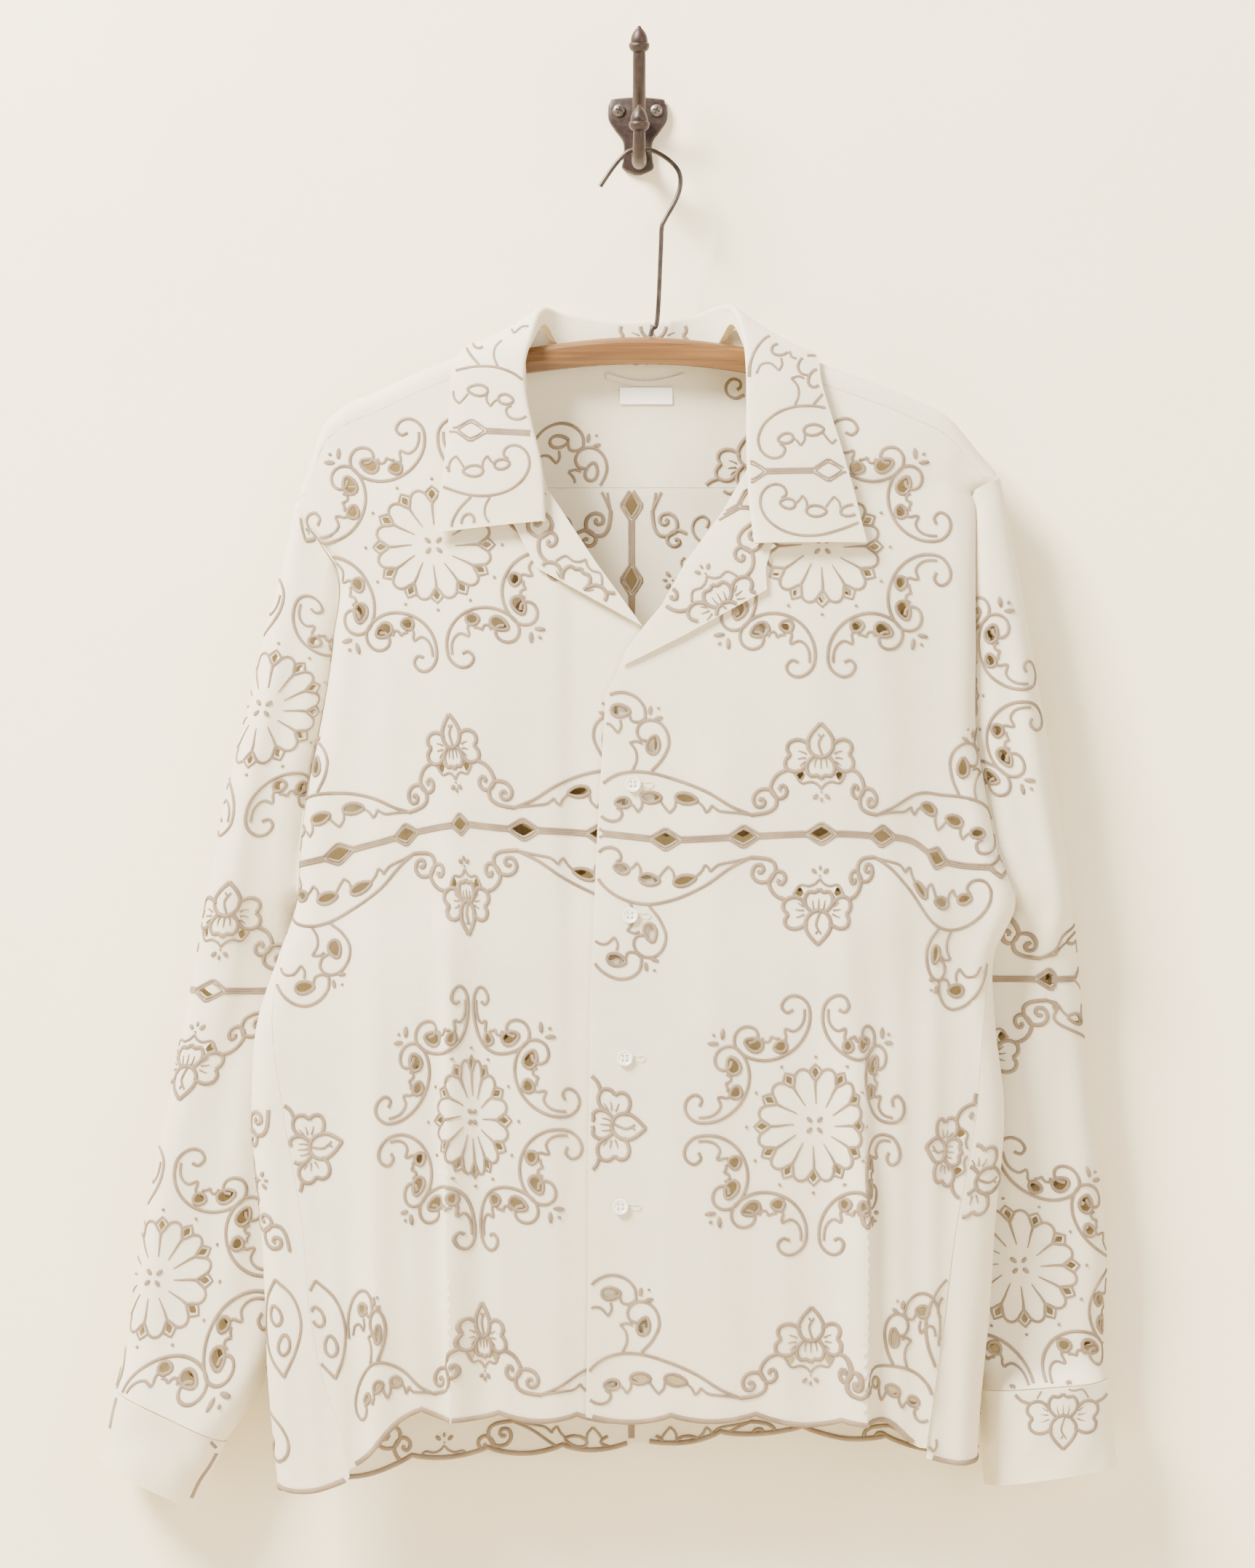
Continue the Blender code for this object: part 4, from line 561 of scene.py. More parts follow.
def dense(points, step=0.0022):
    # The same straight runs with more points, so they follow the cloth
    points = np.asarray(points, float)
    run = np.concatenate([[0.0], np.cumsum(np.hypot(*np.diff(points, axis=0).T))])
    where = np.unique(np.concatenate([run, np.arange(0.0, run[-1], step)]))
    where = where[np.concatenate([[True], np.diff(where) > 0.0003])]
    return np.stack([np.interp(where, run, points[:, k]) for k in (0, 1)], axis=-1)


def polar(centre, stops, unit=0.001):
    # Points given by angle and radius about a centre
    angles = np.radians([angle for angle, _ in stops])
    radii = np.array([radius for _, radius in stops]) * unit
    return np.stack([centre[0] + radii * np.cos(angles), centre[1] + radii * np.sin(angles)], axis=-1)


def millimetres(*pairs):
    return np.array(pairs, float) * 0.001


class Drawing:
    def __init__(self):
        self.cords, self.holes, self.seeds = [], [], []

    def cord(self, points, width=None, taper=0.0):
        wide = (width or stitchSettings["cord"]) * stitchSettings["full"]
        self.cords.append((np.asarray(points), wide, taper))

    def hole(self, x, z, length, width, angle=0.0, point=0.35, ring=True, sides=14):
        turned = math.radians(angle)
        a = np.arange(sides) * 2 * math.pi / sides
        u = np.cos(a) * length / 2
        v = np.sin(a) * width / 2 * (1.0 - point * np.cos(a))
        shape = np.stack([x + u * math.cos(turned) - v * math.sin(turned),
                          z + u * math.sin(turned) + v * math.cos(turned)], axis=-1)
        self.holeShape(shape, ring)

    def holeShape(self, shape, ring=True, width=None):
        shape = np.asarray(shape, float)
        self.holes.append(shape)
        if ring:
            middle = shape.mean(axis=0)
            away = shape - middle
            length = np.hypot(away[:, 0], away[:, 1])[:, None]
            ringLine = middle + away * (1.0 + 0.00095 / length)
            self.cord(np.concatenate([ringLine, ringLine[:1]]), width or stitchSettings["fine"])

    def seed(self, x0, z0, x1, z1, width):
        self.seeds.append((np.array([[x0, z0], [x1, z1]], float), width))

    def stamp(self, other, at=(0.0, 0.0), turn=0.0, flipX=1, flipZ=1, scale=1.0):
        c, s = math.cos(math.radians(turn)), math.sin(math.radians(turn))
        matrix = scale * np.array([[c, s], [-s, c]])

        def put(points):
            return (points * (flipX, flipZ)) @ matrix + at

        self.cords += [(put(points), width, taper) for points, width, taper in other.cords]
        self.holes += [put(points) for points in other.holes]
        self.seeds += [(put(points), width) for points, width in other.seeds]

    def kept(self, test):
        made = Drawing()
        for points, width, taper in self.cords:
            ends = np.flatnonzero(np.diff(np.concatenate([[0], test(points).astype(int), [0]])))
            made.cords += [(points[a:b], width, taper) for a, b in zip(ends[::2], ends[1::2]) if b - a > 2]
        made.holes = [points for points in self.holes if test(points).all()]
        made.seeds = [(points, width) for points, width in self.seeds if test(points).all()]
        return made

    def uncut(self):
        made = Drawing()
        made.cords, made.seeds = list(self.cords), list(self.seeds)
        return made

    def warped(self, warp):
        made = Drawing()
        made.cords = [(warp(points), width, taper) for points, width, taper in self.cords]
        made.holes = [warp(points) for points in self.holes]
        made.seeds = [(warp(points), width) for points, width in self.seeds]
        return made


def drawScroll():
    # One C-scroll beside an axis that runs along +x: a curled tail, a long back and a bulb
    drawn = Drawing()
    tail = polar((0.0755, 0.0148), (
        (175, 1.4), (127, 5.0), (85, 7.7), (43, 7.9), (0, 7.8), (-40, 8.0), (-75, 9.2),
    ))
    back = polar((0.0705, 0.0320), ((262, 28), (240, 28), (218, 28), (196, 28), (180, 28.1)))
    bulb = polar((0.0570, 0.0435), (
        (162, 10.6), (122, 9.6), (80, 8.9), (40, 8.3), (0, 7.6), (-40, 7.2), (-80, 6.3), (-120, 4.6),
        (-170, 3.0),
    ))
    drawn.cord(curve(np.concatenate([tail, back, bulb])), 0.0021)
    centre = (0.0705, 0.0320)
    for stops in (
        ((279, 24.6), (269, 24.3), (258, 23.8), (249, 22.6), (241, 20.6), (236.5, 14.6)),
        ((236.5, 14.6), (229, 15.6), (223, 18.6), (217, 20.0)),
        ((211, 16.6), (203, 15.4), (194, 13.2)),
        ((194, 13.2), (187, 16.0), (178, 16.4), (169, 13.6)),
    ):
        drawn.cord(curve(polar(centre, stops)), 0.0018)
    drawn.hole(0.0508, 0.0228, 0.0066, 0.0056, 100.0, 0.25)
    drawn.hole(0.0529, 0.0400, 0.0105, 0.0066, 66.0, 0.30)
    return drawn


def drawDaisy():
    drawn = Drawing()
    origin = (0.0, 0.0)
    for k in range(12):
        e = 30.0 * k
        arch = ((e, 28.2), (e + 4.2, 31.2), (e + 7.0, 34.2), (e + 11, 36.4), (e + 15, 37.0),
                (e + 19, 36.4), (e + 23.0, 34.2), (e + 25.8, 31.2), (e + 30, 28.2))
        drawn.cord(curve(polar(origin, arch)), 0.0018)
        peak = ((e - 7.4, 34.6), (e - 3.6, 36.8), (e, 39.0), (e + 3.6, 36.8), (e + 7.4, 34.6))
        drawn.cord(polar(origin, peak), 0.0016)
        drawn.cord(curve(polar(origin, ((e, 28.4), (e, 24), (e - 1.5, 18), (e - 3.0, 13.5)))), 0.0019, 0.7)
        drawn.holeShape(polar(origin, (
            (e, 30.0), (e + 2.0, 31.6), (e + 4.0, 33.8), (e + 2.2, 35.6),
            (e, 37.0), (e - 2.2, 35.6), (e - 4.0, 33.8), (e - 2.0, 31.6),
        )), False)
        drawn.seed(*polar(origin, ((e, 42.6),))[0], *polar(origin, ((e, 44.8),))[0], 0.0024)
    for k in range(4):
        ends = polar(origin, ((45 + 90 * k, 2.2), (45 + 90 * k, 7.4)))
        drawn.seed(*ends[0], *ends[1], 0.0030)
    return drawn


def drawRosette():
    drawn = Drawing()
    drawn.stamp(drawDaisy())
    scroll = drawScroll()
    for turn in (0, 90, 180, 270):
        drawn.stamp(scroll, turn=turn)
        drawn.stamp(scroll, turn=turn, flipZ=-1)
    for flipX in (-1, 1):
        for flipZ in (-1, 1):
            corner = Drawing()
            corner.seed(0.0602, 0.0565, 0.0598, 0.0648, 0.0034)
            corner.seed(0.0618, 0.0546, 0.0700, 0.0552, 0.0034)
            corner.seed(0.0645, 0.0595, 0.0668, 0.0612, 0.0024)
            drawn.stamp(corner, flipX=flipX, flipZ=flipZ)
    return drawn


def drawLotus():
    # A lotus that points up from a line at height 0, with its two-curl stems
    drawn = Drawing()
    bud = millimetres((0, 71), (2.4, 68.6), (5.6, 65), (8.2, 60), (7.7, 54.5), (4.4, 50.4), (0, 48.9))
    drawn.cord(curve(bud))
    drawn.cord(curve(bud * (-1, 1)))
    drawn.cord(curve(millimetres((0.3, 62), (-1.4, 58.5), (-0.6, 54.5), (1.2, 49.8))), 0.0016)
    tip = millimetres((0, 69), (2.2, 65.4), (0.3, 62), (-2.0, 65.4), (0, 69))
    drawn.cord(curve(tip, closed=True), 0.0014)
    foot = millimetres((5.0, 49.6), (8.6, 45.5), (9.1, 40.6), (6.6, 37.1), (2.6, 37.4), (0, 35.4))
    petal = millimetres((7.3, 57), (11, 59.6), (16, 60.6), (20.6, 58.4), (21.6, 54.6), (19.6, 51.2))
    petalFoot = millimetres((19.6, 51.2), (22.8, 47.4), (22.4, 43), (18.4, 40.4), (13, 40.9), (9.2, 44.6))
    stem = millimetres((21.6, 41.6), (26.8, 39.6), (31, 35), (32.6, 29.5), (30.4, 25.2), (26.4, 23.2),
                       (22.8, 25.4), (22.3, 29.2), (24.6, 31.8), (26.9, 30.3), (26.1, 28.3))
    curl = millimetres((31, 28.6), (35.6, 29.9), (40.9, 28.6), (43.8, 24), (41.8, 19), (37.6, 18.9),
                       (36.4, 22), (38.6, 24.0), (40.0, 22.2))
    eyelet = millimetres((9.9, 38.2), (11.4, 39.9), (13.0, 40.0), (15.7, 38.0), (14.2, 35.6), (12.4, 33.8),
                         (10.8, 35.6))
    veins = ((9.2, 51.4, 14.4, 53.4), (9.6, 48.8, 15, 48.2), (9.8, 46.4, 13.6, 43.8))
    tail = millimetres((31.4, 28.4), (28.8, 23), (29.6, 18.2), (33, 15.6), (38.6, 14.2), (45.5, 13.6))
    foundation = millimetres((16.8, 38.4), (12.4, 32.6), (6.4, 33.4), (2.6, 31.8), (0, 28.8))
    for flip in (-1, 1):
        for line in (foot, petal, petalFoot, stem, curl, tail):
            drawn.cord(curve(line * (flip, 1)))
        drawn.cord(curve(foundation * (flip, 1)), 0.0016)
        drawn.holeShape(eyelet * (flip, 1), False)
        for x0, z0, x1, z1 in veins:
            vein = millimetres((x0, z0), ((x0 + x1) / 2, (z0 + z1) / 2 + 0.3), (x1, z1))
            drawn.cord(vein * (flip, 1), 0.0014, 0.6)
        drawn.cord(millimetres((3.0, 48.4), (3.8, 45.5), (4.0, 42.6)) * (flip, 1), 0.0013, 0.6)
        drawn.seed(flip * 0.0022, 0.0256, flip * 0.0056, 0.0222, 0.0030)
    drawn.cord(millimetres((0, 48.6), (0, 45), (0, 41.6)), 0.0013, 0.6)
    drawn.seed(0.0, 0.0236, 0.0, 0.0200, 0.0020)
    drawn.seed(0.0, 0.0276, 0.0, 0.0262, 0.0014)
    return drawn


def drawWave():
    # The long toothed leaf that runs from a lotus stem to where the pattern turns back
    drawn = Drawing()
    drawn.cord(curve(millimetres(
        (44.5, 13.5), (56, 18.6), (74, 30.2), (92.5, 38.2), (110, 42.2), (122, 41.6), (134, 37), (142, 29.5),
        (145.2, 20.5), (143.4, 13.4), (139, 9.4), (133.8, 8.5), (129.4, 10.8), (128.2, 15), (131.4, 17.6),
    )), 0.0020)
    for teeth in (
        ((44.5, 13.5), (53, 15.2), (60, 16.2), (66, 17.4), (70.6, 21.2)),
        ((70.6, 21.2), (71.8, 18.6), (74.2, 16.8)),
        ((74.2, 16.8), (76.2, 20.8), (79, 23.6)),
        ((93.4, 25.4), (94.2, 20.8), (97.6, 17.2)),
        ((97.6, 17.2), (100.6, 20.6), (103, 24)),
        ((115.2, 24.2), (115.4, 19.8), (118, 16.2)),
        ((118, 16.2), (120.4, 19.6), (123.4, 21.6)),
    ):
        drawn.cord(curve(millimetres(*teeth)), 0.0017)
    drawn.hole(0.0866, 0.0262, 0.0126, 0.0052, 12.0, -0.25)
    drawn.hole(0.1092, 0.0264, 0.0112, 0.0054, -4.0, -0.20)
    drawn.hole(0.1276, 0.0212, 0.0080, 0.0046, -10.0, 0.20)
    return drawn


def drawSpray():
    # Two bulbs that rise from the crest of a wave, with three seeds where they meet
    drawn = Drawing()
    drawn.cord(curve(millimetres(
        (108.8, 43.2), (101.2, 52.4), (97.4, 62.5), (99.4, 70.4), (104.6, 75.4), (111, 76), (116, 73),
        (118, 67.6), (115.6, 63.2), (112, 62.4),
    )), 0.0020)
    drawn.cord(curve(millimetres(
        (112.6, 77.2), (113.4, 84), (118.4, 89.6), (127, 92), (137, 88.8), (144.4, 81), (148.8, 70),
        (149.4, 62),
    )), 0.0020)
    drawn.cord(curve(millimetres((112.6, 77.2), (116.6, 74.2), (121.6, 74.6), (123, 78.6))), 0.0018)
    for teeth in (
        ((121, 42.6), (118.2, 49.5), (118.8, 55.6), (122.6, 60.4)),
        ((122.6, 60.4), (117.4, 61.6), (114.4, 60.2)),
        ((145, 64), (141.6, 70), (136.4, 70.8), (130.4, 65.6)),
        ((130.4, 65.6), (128.2, 69.6), (128.8, 74)),
    ):
        drawn.cord(curve(millimetres(*teeth)), 0.0017)
    drawn.hole(0.1074, 0.0604, 0.0104, 0.0060, 105.0, 0.3)
    drawn.hole(0.1286, 0.0800, 0.0104, 0.0060, 175.0, 0.3)
    drawn.seed(0.1092, 0.0856, 0.1100, 0.0790, 0.0030)
    drawn.seed(0.1040, 0.0850, 0.1046, 0.0832, 0.0022)
    drawn.seed(0.1074, 0.0768, 0.1010, 0.0784, 0.0030)
    return drawn


def drawBand(lozenges):
    # The drawn-thread band along a line at height 0, with a lozenge at each of these places
    drawn = Drawing()
    half = stitchSettings["pitch"] / 2
    rail = millimetres((-25, 1.3), (-9.6, 1.4), (-5, 4.4), (-1.2, 6.8), (1.2, 6.8), (5, 4.4), (9.6, 1.4),
                       (25, 1.3))
    lozenge = millimetres((-7.4, 0), (-3.6, 2.5), (0, 4.3), (3.6, 2.5), (7.4, 0), (3.6, -2.5), (0, -4.3),
                          (-3.6, -2.5))
    for x in lozenges:
        for flip in (-1, 1):
            drawn.cord(dense(rail * (1, flip) + (x, 0.0)), 0.0016)
            drawn.cord(dense(np.array([(x + flip * 0.0098, 0.0), (x + flip * half, 0.0)])), 0.0015)
        drawn.holeShape(lozenge + (x, 0.0), True, 0.0014)
    return drawn


def drawHalfBand(sides=(-1, 1)):
    drawn = Drawing()
    drawn.stamp(drawLotus())
    for side in sides:
        drawn.stamp(drawWave(), flipX=side)
        drawn.stamp(drawSpray(), flipX=side)
    return drawn


def drawLeaf():
    # A pointed leaf with two holes, as low on the side of the fronts
    drawn = Drawing()
    for flip in (-1, 1):
        drawn.cord(curve(millimetres((0, 32), (9, 20), (13, 2), (9, -16), (0, -32)) * (flip, 1)), 0.0020)
    drawn.hole(-0.0030, 0.0090, 0.0115, 0.0056, 100.0, 0.2)
    drawn.hole(0.0015, -0.0110, 0.0115, 0.0056, 85.0, 0.2)
    return drawn


def drawColumn():
    # Everything round one lotus column of a front, with heights as on the shirt
    drawn = Drawing()
    rosette = drawRosette()
    lozenges = [stitchSettings["pitch"] * k for k in range(-4, 5)]
    bandZ, hemZ = stitchSettings["bandHeight"], stitchSettings["hemHeight"]
    drawn.stamp(rosette, at=(0.0, -0.2755))
    drawn.stamp(rosette, at=(0.0, -0.6460))
    drawn.stamp(drawBand(lozenges), at=(0.0, bandZ))
    half = drawHalfBand()
    drawn.stamp(half, at=(0.0, bandZ))
    drawn.stamp(half, at=(0.0, bandZ), flipZ=-1)
    drawn.stamp(half, at=(0.0, hemZ))
    drawn.stamp(half, at=(0.0, 2 * bandZ - hemZ), flipZ=-1)
    flower = Drawing()
    flower.stamp(drawLotus(), at=(0.1790, -0.6460), turn=90.0)
    drawn.stamp(flower)
    drawn.stamp(flower, flipX=-1)
    return drawn


# Where the flat pattern comes to lie on the hung cloth

patternColumn = {
    -1: Table("z x", (-0.8600, -0.0960), (-0.7650, -0.0998), (-0.6444, -0.1058), (-0.5255, -0.1085),
              (-0.5000, -0.1100), (-0.4550, -0.1141), (-0.4000, -0.1200), (-0.2720, -0.1321),
              (-0.2000, -0.1340)),
    1: Table("z x", (-0.8600, 0.1100), (-0.8000, 0.1105), (-0.6470, 0.1128), (-0.5050, 0.1157),
             (-0.4600, 0.1175), (-0.4100, 0.1171), (-0.2770, 0.1189), (-0.2000, 0.1195)),
}
bandSag = Table(
    "x dz",
    (-0.2600, -0.0230), (-0.2350, -0.0200), (-0.1980, -0.0100), (-0.1537, 0.0), (-0.1140, 0.0049),
    (-0.0730, 0.0020), (-0.0270, -0.0007), (0.0180, -0.0050), (0.0690, -0.0030), (0.1175, -0.0013),
    (0.1560, -0.0024), (0.1910, -0.0060), (0.2170, -0.0170), (0.2400, -0.0220), (0.2600, -0.0230),
)
# Cloth taken up in folds: the place of each fold, its width, and how much it takes at each height
gathers = {
    -1: ((None, 0.011, Table("z take", (-0.90, 0.0090), (-0.78, 0.0105), (-0.70, 0.0135), (-0.645, 0.0145),
                             (-0.56, 0.0148), (-0.50, 0.0105), (-0.46, 0.0100), (-0.40, 0.0060),
                             (-0.30, 0.0), (-0.15, 0.0))),
         (-0.150, 0.014, Table("z take", (-0.90, 0.014), (-0.76, 0.013), (-0.70, 0.006), (-0.645, 0.004),
                               (-0.40, 0.004), (-0.30, 0.0))),
         (-0.172, 0.010, Table("z take", (-0.90, 0.011), (-0.76, 0.011), (-0.70, 0.002), (-0.645, 0.0)))),
    1: ((0.144, 0.012, Table("z take", (-0.90, 0.0285), (-0.78, 0.0275), (-0.71, 0.017), (-0.645, 0.0125),
                             (-0.46, 0.006), (-0.33, 0.0))),
        (0.185, 0.014, Table("z take", (-0.90, 0.006), (-0.46, 0.007), (-0.38, 0.0)))),
}


def frontWarp(sign):
    column = patternColumn[sign]

    def warp(points):
        p, h = points[:, 0] * 1.0, points[:, 1] * 1.0
        sag = bandSag.at("dz", column.at("x", h) + p)
        share = ease((-0.24 - h) / 0.14) * (1.0 - 0.45 * ease((-0.55 - h) / 0.25))
        z = h + sag * share
        x = column.at("x", z) + p
        for _ in range(30):
            taken, steepest = p * 0.0, p * 0.0 + 1.0
            for place, width, table in gathers[sign]:
                middle = column.at("x", z) if place is None else place
                taken += table.at("take", z) * np.tanh((x - middle) / width)
                steepest += table.at("take", z) / width
                if place is not None:
                    taken += table.at("take", z) * np.tanh((place - column.at("x", z)) / width)
            x = x - (x + taken - column.at("x", z) - p) / steepest
        return np.stack([x, z], axis=-1)

    return warp


def frontDrawing(sign):
    drawn = drawColumn().warped(frontWarp(sign))
    drawn.stamp(sideLeaf(sign))
    return drawn


def sideLeaf(sign):
    drawn = Drawing()
    place, turn = ((-0.2010, -0.7790), 11.0) if sign < 0 else ((0.1965, -0.7750), -10.0)
    drawn.stamp(drawLeaf().uncut(), at=place, turn=turn)
    return drawn


# Cloth walls, and the cords that are laid on them


def inside(points, polygon):
    a = np.asarray(polygon)
    b = np.roll(a, -1, axis=0)
    rise = np.where(b[:, 1] == a[:, 1], 1e-12, b[:, 1] - a[:, 1])
    within = np.zeros(len(points), bool)
    for start in range(0, len(points), 4000):
        x, z = points[start:start + 4000, 0:1], points[start:start + 4000, 1:2]
        spans = (a[:, 1] > z) != (b[:, 1] > z)
        crossing = a[:, 0] + (z - a[:, 1]) * (b[:, 0] - a[:, 0]) / rise
        within[start:start + 4000] = (spans & (x < crossing)).sum(axis=1) % 2 == 1
    return within


def distance(points, line, closed=True):
    a = np.asarray(line)
    b = np.roll(a, -1, axis=0)
    if not closed:
        a, b = a[:-1], b[:-1]
    run = b - a
    size = np.maximum((run ** 2).sum(-1), 1e-16)
    away = np.zeros(len(points))
    for start in range(0, len(points), 2000):
        some = points[start:start + 2000, None]
        t = np.clip(((some - a) * run).sum(-1) / size, 0.0, 1.0)
        away[start:start + 2000] = np.sqrt(((some - a - t[..., None] * run) ** 2).sum(-1).min(axis=1))
    return away


def ccw(points):
    a = np.asarray(points)
    b = np.roll(a, -1, axis=0)
    area = (a[:, 0] * b[:, 1] - b[:, 0] * a[:, 1]).sum()
    return a if area > 0 else a[::-1]


def finer(outline, longest=0.0032):
    made = []
    for a, b in zip(outline, np.roll(outline, -1, axis=0)):
        count = max(1, int(math.ceil(np.hypot(*(b - a)) / longest)))
        made += [a + (b - a) * k / count for k in range(count)]
    return np.array(made)


def clearHoles(holes, outline, margin=0.0016):
    kept = []
    for hole in holes:
        if not inside(hole, outline).all() or distance(hole, outline).min() < margin:
            continue
        centre = hole.mean(axis=0)
        near = [other for other in kept if np.hypot(*(other.mean(axis=0) - centre)) < 0.022]
        if any(distance(hole, other).min() < 0.0008 or inside(hole, other).any() for other in near):
            continue
        kept.append(hole)
    return kept


def cutFlat(outline, holes, step):
    low, high = outline.min(axis=0), outline.max(axis=0)
    grid = []
    for row, w in enumerate(np.arange(low[1] + step / 2, high[1], step * 0.87)):
        across = np.arange(low[0] + step / 2 * (row % 2), high[0], step)
        grid.append(np.stack([across, 0 * across + w], axis=-1))
    grid = np.concatenate(grid)
    grid = grid[inside(grid, outline)]
    grid = grid[distance(grid, outline) > 0.42 * step]
    for hole in holes:
        near = np.flatnonzero((np.abs(grid - hole.mean(axis=0)) < 0.012).all(axis=1))
        if len(near):
            bad = inside(grid[near], hole) | (distance(grid[near], hole) < 0.35 * step)
            grid = np.delete(grid, near[bad], axis=0)
    points, edges = [], []
    for ring in [outline] + list(holes):
        first = len(points)
        points += [tuple(p) for p in ring]
        edges += [(first + k, first + (k + 1) % len(ring)) for k in range(len(ring))]
    points += [tuple(p) for p in grid]
    verts, _, faces, _, _, _ = delaunay_2d_cdt([Vector(p) for p in points], edges, [], 0, 1e-8)
    verts = np.array([tuple(v) for v in verts])
    faces = np.array([f for f in faces if len(f) == 3])
    centre = verts[faces].mean(axis=1)
    keep = inside(centre, outline)
    for hole in holes:
        near = np.flatnonzero((np.abs(centre - hole.mean(axis=0)) < 0.012).all(axis=1))
        keep[near[inside(centre[near], hole)]] = False
    faces = faces[keep]
    used = np.unique(faces)
    index = np.zeros(len(verts), int)
    index[used] = np.arange(len(used))
    return verts[used], index[faces]


def surfaceNormals(surface, flat, reach=0.0004):
    across = surface(flat + (reach, 0.0)) - surface(flat - (reach, 0.0))
    upward = surface(flat + (0.0, reach)) - surface(flat - (0.0, reach))
    normal = np.cross(across, upward)
    return normal / np.maximum(np.linalg.norm(normal, axis=1), 1e-12)[:, None]


def gridNormals(points, faces):
    corner = points[faces]
    faceNormal = np.cross(corner[:, 1] - corner[:, 0], corner[:, 2] - corner[:, 0])
    normal = np.zeros_like(points)
    for k in range(3):
        np.add.at(normal, faces[:, k], faceNormal)
    return normal / np.linalg.norm(normal, axis=1)[:, None]


def thicken(points, faces, wall, normal):
    count = len(points)
    every = np.concatenate([points + normal * wall / 2, points - normal * wall / 2])
    ends = np.concatenate([faces[:, [0, 1]], faces[:, [1, 2]], faces[:, [2, 0]]])
    there = {tuple(e) for e in ends.tolist()}
    free = [(a, b) for a, b in there if (b, a) not in there]
    strips = [(b, a, a + count) for a, b in free] + [(b, a + count, b + count) for a, b in free]
    return every, np.concatenate([faces, faces[:, ::-1] + count, np.array(strips)])


def addMesh(name, points, faces, finish, uv=None, angle=40.0):
    mesh = bpy.data.meshes.new(name)
    mesh.from_pydata(points.tolist() if hasattr(points, "tolist") else points, [],
                     faces.tolist() if hasattr(faces, "tolist") else faces)
    mesh.materials.append(finish)
    if uv is not None:
        layer = mesh.uv_layers.new(name="flat")
        corners = np.zeros(len(mesh.loops), int)
        mesh.loops.foreach_get("vertex_index", corners)
        layer.data.foreach_set("uv", uv[corners].ravel())
    mesh.shade_smooth()
    mesh.set_sharp_from_angle(angle=math.radians(angle))
    made = bpy.data.objects.new(name, mesh)
    bpy.context.scene.collection.objects.link(made)
    return made


def ride(piece, slot, nodes=()):
    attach(piece, "root")
    if nodes:
        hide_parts(*nodes)


def flatArea(flat, faces):
    a, b, c = flat[faces[:, 0]], flat[faces[:, 1]], flat[faces[:, 2]]
    along, over = b - a, c - a
    return float(abs(along[:, 0] * over[:, 1] - along[:, 1] * over[:, 0]).sum() / 2)


